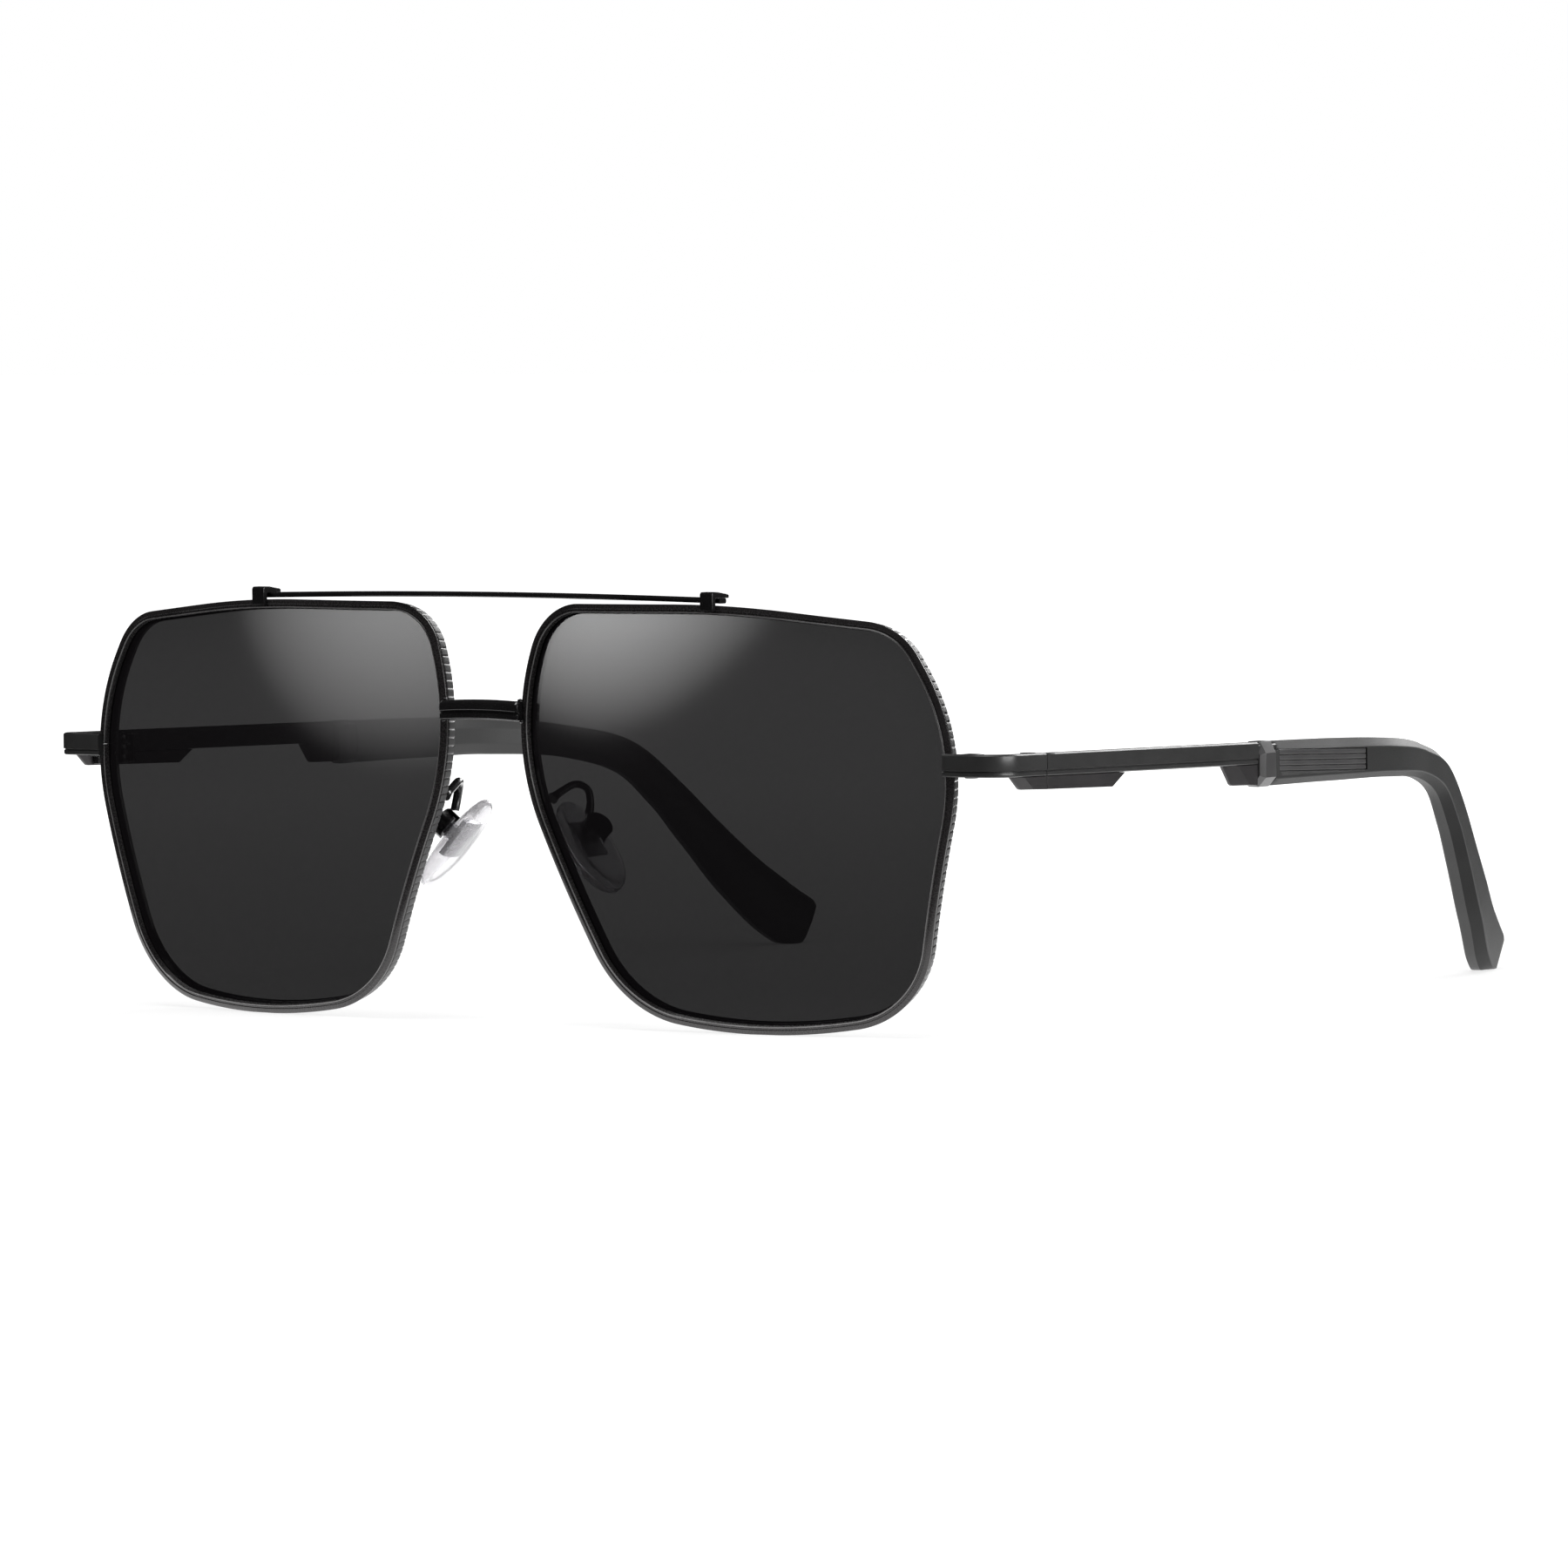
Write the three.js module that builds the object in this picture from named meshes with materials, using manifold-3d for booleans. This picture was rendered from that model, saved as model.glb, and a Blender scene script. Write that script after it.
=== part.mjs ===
// Double-bridge square pilot sunglasses: metal front, tinted lenses, folding temples, rocking nose pads.
// Millimetres, +Z up. The front faces -Y, the temples run back along +Y and +X is the wearer's left.
// Every paired piece is drawn once, on the wearer's left, and mirrored in X for the right.

import * as THREE from 'three';
import { ConvexGeometry } from 'three/addons/geometries/ConvexGeometry.js';
import { mergeVertices } from 'three/addons/utils/BufferGeometryUtils.js';
import Module from 'manifold-3d';

// ---- Driving dimensions -------------------------------------------------------------------------

// Front: each lens lies on a sphere that is turned out at the temple and tilted under the brow.
const LENS_CENTRE_X = 36;
const LENS_CENTRE_Z = 23.6;
const FRONT_RADIUS = 120;
const WRAP_SLOPE = 0.092;
const FRONT_TILT = 0.098;

// Outer edge of a rim, seen from the front, as corners of a polygon with their rounding radii.
const RIM_CORNERS = [
  { x: 68.4, z: 36.2, r: 26 },
  { x: 60.3, z: 2.6, r: 13 },
  { x: 39.0, z: -0.6, r: 81 },
  { x: 18.8, z: 2.5, r: 15 },
  { x: 3.7, z: 35.6, r: 30 },
  { x: 8.9, z: 52.4, r: 7.7 },
  { x: 37.3, z: 52.6, r: 150 },
  { x: 60.0, z: 50.2, r: 8.5 },
];
const RIM_STATIONS = 84;
const RIM_WIDTH = 1.05;
const RIM_DEPTH = 2.2;
const RIM_FLANGE_DEPTH = 0.45;
const RIM_BAND_INSET = 0.12;
const GROOVE_FRONT = 0.75;
const GROOVE_BACK = 1.75;
const GROOVE_DEPTH = 0.45;
const RIM_SAW_CUT = 0.2;

const LENS_THICKNESS = 0.8;
const LENS_EDGE_INSET = 0.7;
const LENS_RINGS = 6;
// Height above the centre of curvature of the point that the lens's facets fan out from.
const LENS_FAN_RISE = 2;

// Lower bridge: a stepped bar in front of the two rims.
const BRIDGE_HALF_SPAN = 6.1;
const BRIDGE_TOP_Z = 40.35;
const BRIDGE_HEIGHT = 2.4;
const BRIDGE_FRONT_Y = -0.8;
const BRIDGE_DEPTH = 1.2;
const BRIDGE_RISE = 0.2;
const BRIDGE_STEPS = 10;
// Bridge section as distance behind its front and drop from its top.
const BRIDGE_SECTION = [
  [BRIDGE_DEPTH, 0], [0.25, 0], [0, 0.25], [0, 1.3], [0.25, 1.5], [0.1, 1.7], [0.1, 2.3],
  [0.3, BRIDGE_HEIGHT], [BRIDGE_DEPTH, BRIDGE_HEIGHT],
];

// Brow bar and the two hooked posts that carry it over the rims.
const POST_X = 34.9;
const POST_WIDTH = 1.9;
const POST_FRONT_Y = -0.35;
const POST_LEG_THICKNESS = 0.75;
const POST_FOOT_Z = 51.8;
const POST_TOP_Z = 54.05;
const POST_TAIL_Y = 3.1;
const POST_TAIL_Z = 53.75;
const POST_CHAMFER = 0.3;
const POST_CLEARANCE = 0.08;
const BROW_BAR_TOP_Z = 53.28;
const BROW_BAR_HEIGHT = 0.65;
const BROW_BAR_FRONT_Y = 1.1;
const BROW_BAR_DEPTH = 1.4;
const BROW_BAR_RISE = 0.45;
const BROW_BAR_BOW = 1.0;
const BROW_BAR_STEPS = 24;

// Temple bar section, shared by the end piece, and its gentle fall towards the ear.
const BAR_OUTER_X = 73.9;
const BAR_THICKNESS = 1.3;
const BAR_HEIGHT = 2.75;
const BAR_TOP_AT_FRONT = 34.98;
const BAR_FALL = 0.0163;
const BAR_STEP_DROP = 2.0;
const BAR_GROOVE_DEPTH = 0.25;
const BAR_GROOVE_SLOPE = 0.1;
const BAR_BAND_INSET = 0.1;

const END_PIECE_START_X = 65.8;
const END_PIECE_FRONT_Y = 4.9;
const END_PIECE_THICKNESS = 0.95;
const END_PIECE_BEND_R = 4.4;
const BEND_STEPS = 8;
const SEAM_Y = 15.4;
const SEAM_GAP = 0.05;
const BAR_END_Y = 60.65;

// Three-knuckle hinge on the inner side of the seam.
const HINGE_X = 71.0;
const KNUCKLE_R = 1.1;
const KNUCKLE_HEIGHT = 1.15;
const KNUCKLE_GAP = 0.1;
const HINGE_BOTTOM_Z = 30.65;
const LEAF_INNER_X = 71.7;
const LEAF_THICKNESS = 0.85;
const LEAF_LENGTH = 2.3;
const LEAF_SETBACK = 1.2;
const WEB_START = 0.1;
const WEB_OVERLAP = 0.4;
const HINGE_SCREW_R = 0.5;
const HINGE_BORE_R = 0.56;
const HINGE_HEAD_R = 0.95;
const SCREW_HEAD_HEIGHT = 0.35;
const SCREW_HEAD_GAP = 0.05;
const SCREW_SLOT = { width: 0.24, depth: 0.15 };

// Wedge-shaped covers under the bar, with a facet on the leading outer edge.
const WEDGE_INNER_X = 72.65;
const WEDGE_OUTER_X = 73.8;
const WEDGE_CLEARANCE = 0.05;
const FACET_NOSE = 0.4;
const END_WEDGE = {
  topStart: 9.0, bottomStart: 10.8, facetTop: 10.7, facetBottom: 12.6,
  bottomZ: [30.5, 30.38],
};
const FRONT_WEDGE = { topEnd: 31.9, bottomEnd: 29.2, bottomZ: [30.38, 30.03] };
const REAR_WEDGE = {
  topStart: 53.9, bottomStart: 55.8, facetTop: 56.3, facetBottom: 58.8,
  bottomZ: [28.82, 28.7],
};
const REAR_WEDGE_END_Y = BAR_END_Y - 0.1;

// Closing block of each rim: two drilled lugs and a screw behind the end piece.
const LOCK_X = 68.4;
const LOCK_Y = 7.4;
const LOCK_SIZE = 2.2;
const LOCK_LUG_HEIGHT = 1.15;
const LOCK_MID_Z = 33.6;
const LOCK_SCREW_R = 0.45;
const LOCK_BORE_R = 0.52;
const LOCK_HEAD_R = 0.8;
const LOCK_SCREW_LENGTH = 2.3;

// Ferrule collar, temple tip and ribbed inlay.
const COLLAR_FRONT_Y = 60.75;
const COLLAR_LENGTH = 3.35;
// Collar outline, seen from the front.
const COLLAR_OUTLINE = [
  [71.2, 28.9], [71.9, 28.4], [73.3, 28.4], [74.45, 29.6], [74.45, 32.6], [73.6, 34.05], [71.9, 34.05],
  [71.2, 33.5],
];
const TIP_FRONT_Y = 64.2;
const TIP_STEPS = 44;
// How much of the change in size between two stations eases in and out; the rest is straight.
const TIP_EASING = 0.4;
const CORE_WIDTH = 1.0;
const CORE_HEIGHT = 1.6;
const CORE_CLEARANCE = 0.15;
// Where the core wire leaves the bar and where it runs in the collar, with their overlaps along Y.
const CORE_ROOT = { x: 73.1, z: 32.3, overlap: 1 };
const CORE_IN_COLLAR = { x: 72.9, z: 32.0, overlap: 1 };
const INLAY_FRONT_Y = 64.8;
const INLAY_BACK_Y = 84.4;
const INLAY_TOP_AT_FRONT = 32.95;
const INLAY_HEIGHT = 2.7;
const INLAY_FALL = 0.035;
const INLAY_INNER_X = 73.75;
const INLAY_THICKNESS = 0.45;
const INLAY_RIBS = 4;
const INLAY_GROOVE = 0.15;
const INLAY_CLEARANCE = 0.08;

// Tip centreline stations: distance back, height, sideways place, full height and full thickness.
const TIP_STATIONS = [
  { y: TIP_FRONT_Y, z: 31.2, x: 72.7, height: 5.5, thickness: 3.0 },
  { y: 78.0, z: 31.05, x: 72.7, height: 5.3, thickness: 3.0 },
  { y: 92.0, z: 30.7, x: 72.4, height: 4.9, thickness: 3.0 },
  { y: 104.9, z: 29.5, x: 68.6, height: 4.3, thickness: 2.9 },
  { y: 114.1, z: 27.0, x: 65.5, height: 4.7, thickness: 3.2 },
  { y: 120.2, z: 22.0, x: 63.5, height: 5.1, thickness: 3.5 },
  { y: 125.0, z: 16.9, x: 61.85, height: 5.9, thickness: 3.6 },
  { y: 131.0, z: 10.6, x: 59.7, height: 7.2, thickness: 3.6 },
  { y: 136.5, z: 5.7, x: 57.5, height: 8.2, thickness: 3.4 },
  { y: 142.0, z: 2.0, x: 55.6, height: 8.3, thickness: 3.0 },
];
const TIP_END_ROUND = 1.8;
// The paddle leans outward towards its upper edge, as a share of its height, over its last stretch.
const PADDLE_LEAN = 0.1;
const PADDLE_LEAN_FROM = 0.7;
const CORE_END = 0.62;
const CORE_STEPS = 16;

// Nose pads: a clear silicone pad on a metal core that rocks on a screw in a round box.
const PAD_CENTRE = new THREE.Vector3(10.6, 7.9, 22.4);
const PAD_DOWN = new THREE.Vector3(8.5, -1.4, -10.1).normalize();
const PAD_NOSEWARD = new THREE.Vector3(-0.739, 0.184, -0.648);
const PAD_LENGTH = 13.9;
const PAD_WIDTH = 7.2;
const PAD_THICKNESS = 2.6;
const PAD_BEHIND_CORE = 1.0;
const PAD_LIFT = 0.9;
const CORE_PLATE = { across: 3.2, along: 5.2, thick: 0.5 };
const CORE_POCKET_CLEARANCE = 0.12;
const LUG_WIDTH = 1.1;
const LUG_HEIGHT = 1.7;
const PIVOT_DEPTH = 2.25;
const PAD_BOX_R = 1.8;
const PAD_BOX_FRONT = 1.55;
const PAD_BOX_BACK = 3.3;
const PAD_SLOT_WIDTH = 1.3;
const PAD_SLOT_BACK = 3.05;
const PAD_SCREW_R = 0.35;
const PAD_BORE_R = 0.42;
const PAD_ARM_R = 0.55;
const PAD_ARM_ROUTE = [
  [8.35, 3.2, 28.4],
  [8.6, 5.0, 29.3],
  [9.2, 7.0, 30.0],
  [10.0, 8.1, 29.45],
  [10.4, 8.2, 27.9],
  [10.5, 7.8, 26.3],
];

// The rims and the tips stand on small flats at this height.
const REST_Z = 0.4;
const REST_DEPTH = 5;

// ---- Materials ----------------------------------------------------------------------------------

const material = (color, roughness, metalness, extra = {}) =>
  new THREE.MeshStandardMaterial({ color, roughness, metalness, ...extra });

const BLACK_METAL = material(0x17171a, 0.35, 0.8);
const GUNMETAL = material(0x3c3b3e, 0.45, 0.7);
const BLACK_PLASTIC = material(0x1a1a1b, 0.55, 0);
const TINTED_LENS = material(0x2c2a2e, 0.08, 0, { transparent: true, opacity: 0.85 });
const CLEAR_SILICONE = material(0xeceaf0, 0.2, 0, { transparent: true, opacity: 0.45 });
const STEEL = material(0x9a9a9e, 0.3, 0.9);

// ---- Geometry helpers ---------------------------------------------------------------------------

const wasm = await Module();
wasm.setup();

const vec = (x, y, z) => new THREE.Vector3(x, y, z);

function welded(geometry) {
  const plain = geometry.clone();
  plain.deleteAttribute('normal');
  plain.deleteAttribute('uv');
  return mergeVertices(plain, 1e-4);
}

function toManifold(geometry) {
  const merged = welded(geometry);
  return new wasm.Manifold(new wasm.Mesh({
    numProp: 3,
    vertProperties: new Float32Array(merged.attributes.position.array),
    triVerts: new Uint32Array(merged.index.array),
  }));
}

function fromManifold(manifold) {
  const mesh = manifold.getMesh();
  const geometry = new THREE.BufferGeometry();
  geometry.setAttribute('position', new THREE.BufferAttribute(new Float32Array(mesh.vertProperties), 3));
  geometry.setIndex(new THREE.BufferAttribute(new Uint32Array(mesh.triVerts), 1));
  return geometry;
}

const cut = (base, ...tools) =>
  fromManifold(tools.reduce((solid, tool) => solid.subtract(toManifold(tool)), toManifold(base)));

const join = (base, ...others) =>
  fromManifold(others.reduce((solid, other) => solid.add(toManifold(other)), toManifold(base)));

function signedVolume(points, index) {
  let volume = 0;
  for (let i = 0; i < index.length; i += 3) {
    const [a, b, c] = [points[index[i]], points[index[i + 1]], points[index[i + 2]]];
    volume += a.dot(b.clone().cross(c)) / 6;
  }
  return volume;
}

// Skins a row of equal rings of points into one closed body, with a flat cap at each end.
function loft(rings, capOutline) {
  const count = rings[0].length;
  const points = rings.flat();
  const index = [];
  for (let ring = 0; ring + 1 < rings.length; ring++) {
    for (let i = 0; i < count; i++) {
      const a = ring * count + i;
      const b = ring * count + ((i + 1) % count);
      index.push(a, b, a + count, b, b + count, a + count);
    }
  }
  const last = (rings.length - 1) * count;
  for (const triangle of THREE.ShapeUtils.triangulateShape(capOutline, [])) {
    const turn = THREE.ShapeUtils.area(triangle.map((i) => capOutline[i]));
    const [p, q, r] = turn * THREE.ShapeUtils.area(capOutline) > 0 ? triangle : triangle.reverse();
    index.push(r, q, p, last + p, last + q, last + r);
  }
  if (signedVolume(points, index) < 0) index.reverse();
  const geometry = new THREE.BufferGeometry().setFromPoints(points);
  geometry.setIndex(index);
  return geometry;
}

function polygon(points) {
  return new THREE.Shape(points.map(([x, y]) => new THREE.Vector2(x, y)));
}

function prism(shape, depth, curveSegments = 12) {
  return new THREE.ExtrudeGeometry(shape, { depth, bevelEnabled: false, curveSegments });
}

// A shape drawn in X and Y, raised in Z from a floor height.
const standing = (shape, z, height) => prism(shape, height).translate(0, 0, z);

function box(x0, x1, y0, y1, z0, z1) {
  return new THREE.BoxGeometry(x1 - x0, y1 - y0, z1 - z0).translate((x0 + x1) / 2, (y0 + y1) / 2, (z0 + z1) / 2);
}

// A round bar along Z.
const post = (x, y, r, z0, z1, sides = 20) =>
  new THREE.CylinderGeometry(r, r, z1 - z0, sides).rotateX(Math.PI / 2).translate(x, y, (z0 + z1) / 2);

function mirroredX(geometry) {
  const mirrored = welded(geometry);
  mirrored.scale(-1, 1, 1);
  mirrored.setIndex(Array.from(mirrored.index.array).reverse());
  return mirrored;
}

// ---- Front shape --------------------------------------------------------------------------------

function frontY(x, z) {
  const dx = x - LENS_CENTRE_X;
  const dz = z - LENS_CENTRE_Z;
  return (dx * dx + dz * dz) / (2 * FRONT_RADIUS) + WRAP_SLOPE * dx - FRONT_TILT * dz;
}

// The rim's outer edge, from the saw cut between the closing lugs all the way round and back to it.
function rimOutline() {
  const corners = RIM_CORNERS.map((corner) => new THREE.Vector2(corner.x, corner.z));
  const arcs = RIM_CORNERS.map(({ r }, i) => {
    const here = corners[i];
    const toPrevious = corners.at(i - 1).clone().sub(here).normalize();
    const toNext = corners[(i + 1) % corners.length].clone().sub(here).normalize();
    const half = Math.acos(toPrevious.dot(toNext)) / 2;
    const bisector = toPrevious.clone().add(toNext).normalize();
    const centre = here.clone().addScaledVector(bisector, r / Math.sin(half));
    const middle = Math.atan2(-bisector.y, -bisector.x);
    return { centre, r, middle, sweep: Math.PI / 2 - half };
  });
  const path = new THREE.Path();
  const [first, ...rest] = arcs;
  const sawCut = Math.asin((LOCK_MID_Z - first.centre.y) / first.r);
  path.absarc(first.centre.x, first.centre.y, first.r, sawCut, first.middle - first.sweep, true);
  for (const { centre, r, middle, sweep } of rest) {
    path.absarc(centre.x, centre.y, r, middle + sweep, middle - sweep, true);
  }
  path.absarc(first.centre.x, first.centre.y, first.r, first.middle + first.sweep, sawCut, true);
  return path.getSpacedPoints(RIM_STATIONS);
}

// Outline points with their outward directions in the X-Z plane.
const OUTLINE = (() => {
  const points = rimOutline().slice(0, RIM_STATIONS);
  return points.map((point, i) => {
    const ahead = points[(i + 1) % points.length];
    const behind = points.at(i - 1);
    const tangent = ahead.clone().sub(behind).normalize();
    return { point, tangent, outward: new THREE.Vector2(-tangent.y, tangent.x) };
  });
})();

// A point a given depth behind the front surface, square to it.
function behindFront(x, z, depth) {
  const slopeX = (x - LENS_CENTRE_X) / FRONT_RADIUS + WRAP_SLOPE;
  const slopeZ = (z - LENS_CENTRE_Z) / FRONT_RADIUS - FRONT_TILT;
  const backward = vec(-slopeX, 1, -slopeZ).normalize();
  return vec(x, frontY(x, z), z).addScaledVector(backward, depth);
}

function onFront({ point, outward }, inset, depth) {
  return behindFront(point.x - outward.x * inset, point.y - outward.y * inset, depth);
}

function rim() {
  const section = [
    [0, 0], [0, RIM_FLANGE_DEPTH], [RIM_BAND_INSET, RIM_FLANGE_DEPTH + RIM_BAND_INSET],
    [RIM_BAND_INSET, RIM_DEPTH], [RIM_WIDTH, RIM_DEPTH], [RIM_WIDTH, GROOVE_BACK],
    [RIM_WIDTH - GROOVE_DEPTH, GROOVE_BACK], [RIM_WIDTH - GROOVE_DEPTH, GROOVE_FRONT],
    [RIM_WIDTH, GROOVE_FRONT], [RIM_WIDTH, 0],
  ];
  const ringAt = (station, along) => section.map(([inset, depth]) => {
    const point = station.point.clone().addScaledVector(station.tangent, along);
    return onFront({ point, outward: station.outward }, inset, depth);
  });
  const [start] = OUTLINE;
  const rings = [
    ringAt(start, RIM_SAW_CUT / 2),
    ...OUTLINE.slice(1).map((station) => ringAt(station, 0)),
    ringAt(start, -RIM_SAW_CUT / 2),
  ];
  const ring = loft(rings, section.map(([a, b]) => new THREE.Vector2(a, b)));
  return cut(ring, belowRest());
}

// Everything under the resting height.
const belowRest = () => box(0, 2 * BAR_OUTER_X, 0, 2 * BAR_OUTER_X, -REST_DEPTH, REST_Z);

function lens() {
  const front = (GROOVE_FRONT + GROOVE_BACK - LENS_THICKNESS) / 2;
  const centre = new THREE.Vector2(LENS_CENTRE_X, LENS_CENTRE_Z + LENS_FAN_RISE);
  const edge = OUTLINE.map(({ point, outward }) => point.clone().addScaledVector(outward, -LENS_EDGE_INSET));
  const points = [];
  const index = [];
  const skin = (depth) => {
    const base = points.length;
    points.push(behindFront(centre.x, centre.y, depth));
    for (let ring = 1; ring <= LENS_RINGS; ring++) {
      for (const rimPoint of edge) {
        const p = centre.clone().lerp(rimPoint, ring / LENS_RINGS);
        points.push(behindFront(p.x, p.y, depth));
      }
    }
    return base;
  };
  const count = edge.length;
  const frontBase = skin(front);
  const backBase = skin(front + LENS_THICKNESS);
  const quad = (a, b, c, d) => index.push(a, b, c, b, d, c);
  for (let i = 0; i < count; i++) {
    const j = (i + 1) % count;
    index.push(frontBase, frontBase + 1 + i, frontBase + 1 + j);
    index.push(backBase, backBase + 1 + j, backBase + 1 + i);
    for (let ring = 0; ring + 1 < LENS_RINGS; ring++) {
      const inner = 1 + ring * count;
      const outer = inner + count;
      quad(frontBase + inner + i, frontBase + outer + i, frontBase + inner + j, frontBase + outer + j);
      quad(backBase + inner + j, backBase + outer + j, backBase + inner + i, backBase + outer + i);
    }
    const edgeRow = 1 + (LENS_RINGS - 1) * count;
    quad(frontBase + edgeRow + i, backBase + edgeRow + i, frontBase + edgeRow + j, backBase + edgeRow + j);
  }
  if (signedVolume(points, index) < 0) index.reverse();
  const geometry = new THREE.BufferGeometry().setFromPoints(points);
  geometry.setIndex(index);
  return geometry;
}

function bridge() {
  const rings = [];
  for (let i = 0; i <= BRIDGE_STEPS; i++) {
    const t = (2 * i) / BRIDGE_STEPS - 1;
    const top = BRIDGE_TOP_Z + BRIDGE_RISE * (1 - t * t);
    rings.push(BRIDGE_SECTION.map(([back, drop]) =>
      vec(t * BRIDGE_HALF_SPAN, BRIDGE_FRONT_Y + back, top - drop)));
  }
  return loft(rings, BRIDGE_SECTION.map(([back, drop]) => new THREE.Vector2(back, -drop)));
}

function browBar() {
  const section = [
    [0, 0], [0, -BROW_BAR_HEIGHT], [BROW_BAR_DEPTH, -BROW_BAR_HEIGHT], [BROW_BAR_DEPTH, 0],
  ];
  const halfSpan = POST_X + POST_WIDTH / 2;
  const rings = [];
  for (let i = 0; i <= BROW_BAR_STEPS; i++) {
    const t = (2 * i) / BROW_BAR_STEPS - 1;
    const away = 1 - t * t;
    const y = BROW_BAR_FRONT_Y - BROW_BAR_BOW * away;
    const z = BROW_BAR_TOP_Z + BROW_BAR_RISE * away;
    rings.push(section.map(([back, down]) => vec(t * halfSpan, y + back, z + down)));
  }
  return loft(rings, section.map(([back, down]) => new THREE.Vector2(back, down)));
}

// A hook in side view: the leg stands on the rim's face and the cap reaches back over the bar's end.
function browPost() {
  const legBack = POST_FRONT_Y + POST_LEG_THICKNESS;
  const capBottom = BROW_BAR_TOP_Z + POST_CLEARANCE;
  const profile = polygon([
    [POST_FRONT_Y, POST_FOOT_Z], [legBack, POST_FOOT_Z], [legBack, capBottom], [POST_TAIL_Y, capBottom],
    [POST_TAIL_Y, POST_TAIL_Z], [legBack, POST_TOP_Z], [POST_FRONT_Y + POST_CHAMFER, POST_TOP_Z],
    [POST_FRONT_Y, POST_TOP_Z - POST_CHAMFER],
  ]);
  return sideProfile(profile, POST_X - POST_WIDTH / 2, POST_WIDTH);
}

// A shape drawn in Y and Z, given a thickness in X.
function sideProfile(shape, x, thickness) {
  return prism(shape, thickness).rotateZ(Math.PI / 2).rotateY(Math.PI / 2).translate(x, 0, 0);
}

// ---- End piece, temple bar and hinge ------------------------------------------------------------

const barTop = (y) => BAR_TOP_AT_FRONT - BAR_FALL * y;
const barBottom = (y) => barTop(y) - BAR_HEIGHT;

// Bar section as outward offset from the outer face and drop from the top.
function barSection(thickness) {
  return [
    [0, 0], [0, -BAR_STEP_DROP], [-BAR_GROOVE_DEPTH, -BAR_STEP_DROP - BAR_GROOVE_SLOPE],
    [-BAR_BAND_INSET, -BAR_STEP_DROP - 2 * BAR_GROOVE_SLOPE], [-BAR_BAND_INSET, -BAR_HEIGHT],
    [-thickness, -BAR_HEIGHT], [-thickness, 0],
  ];
}

// Sweeps the bar section along a plan-view route of points with outward directions.
function sweepBar(route) {
  const rings = route.map(({ x, y, outX, outY, thickness }) =>
    barSection(thickness).map(([out, drop]) => vec(x + outX * out, y + outY * out, barTop(y) + drop)));
  const cap = barSection(BAR_THICKNESS).map(([out, drop]) => new THREE.Vector2(out, drop));
  return loft(rings, cap);
}

function endPiece() {
  const bendX = BAR_OUTER_X - END_PIECE_BEND_R;
  const bendY = END_PIECE_FRONT_Y + END_PIECE_BEND_R;
  const route = [{ x: END_PIECE_START_X, y: END_PIECE_FRONT_Y, outX: 0, outY: -1, thickness: END_PIECE_THICKNESS }];
  for (let i = 0; i <= BEND_STEPS; i++) {
    const turn = (Math.PI / 2) * (i / BEND_STEPS);
    const outX = Math.sin(turn);
    const outY = -Math.cos(turn);
    route.push({
      x: bendX + END_PIECE_BEND_R * outX,
      y: bendY + END_PIECE_BEND_R * outY,
      outX,
      outY,
      thickness: THREE.MathUtils.lerp(END_PIECE_THICKNESS, BAR_THICKNESS, i / BEND_STEPS),
    });
  }
  route.push({ x: BAR_OUTER_X, y: SEAM_Y - SEAM_GAP, outX: 1, outY: 0, thickness: BAR_THICKNESS });
  return sweepBar(route);
}

// The temple's metal bar runs on through the collar as the core wire of the plastic tip.
function templeBar() {
  const bar = sweepBar([SEAM_Y + SEAM_GAP, BAR_END_Y].map((y) =>
    ({ x: BAR_OUTER_X, y, outX: 1, outY: 0, thickness: BAR_THICKNESS })));
  return join(bar, coreWire(0));
}

// The core wire's shape, or with a clearance the channel that it sits in, which runs one step deeper.
function coreWire(clearance) {
  const ahead = vec(0, 1, 0);
  const stations = [
    { point: vec(CORE_ROOT.x, BAR_END_Y - CORE_ROOT.overlap, CORE_ROOT.z), tangent: ahead },
    { point: vec(CORE_IN_COLLAR.x, COLLAR_FRONT_Y + CORE_IN_COLLAR.overlap, CORE_IN_COLLAR.z), tangent: ahead },
  ];
  const lastStep = clearance > 0 ? CORE_STEPS + 1 : CORE_STEPS;
  for (let i = 1; i <= lastStep; i++) {
    const share = (CORE_END * i) / CORE_STEPS;
    const { x, y, z } = tipAt(share);
    stations.push({ point: vec(x, y, z), tangent: TIP_CURVE.getTangentAt(share) });
  }
  const corners = [[0.5, 0.5], [0.5, -0.5], [-0.5, -0.5], [-0.5, 0.5]];
  const width = CORE_WIDTH + 2 * clearance;
  const height = CORE_HEIGHT + 2 * clearance;
  const rings = stations.map(({ point, tangent }) => {
    const { side, rise } = acrossTangent(tangent);
    return corners.map(([a, b]) =>
      point.clone().addScaledVector(side, a * width).addScaledVector(rise, b * height));
  });
  return loft(rings, corners.map(([a, b]) => new THREE.Vector2(a, b)));
}

// Sideways and upward directions across a tangent, with the sideways one kept level.
function acrossTangent(tangent) {
  const side = tangent.clone().cross(vec(0, 0, 1)).normalize();
  return { side, rise: side.clone().cross(tangent).normalize() };
}

const knuckleZ = (level) => HINGE_BOTTOM_Z + level * (KNUCKLE_HEIGHT + KNUCKLE_GAP);
const HINGE_TOP_Z = knuckleZ(2) + KNUCKLE_HEIGHT;

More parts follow.
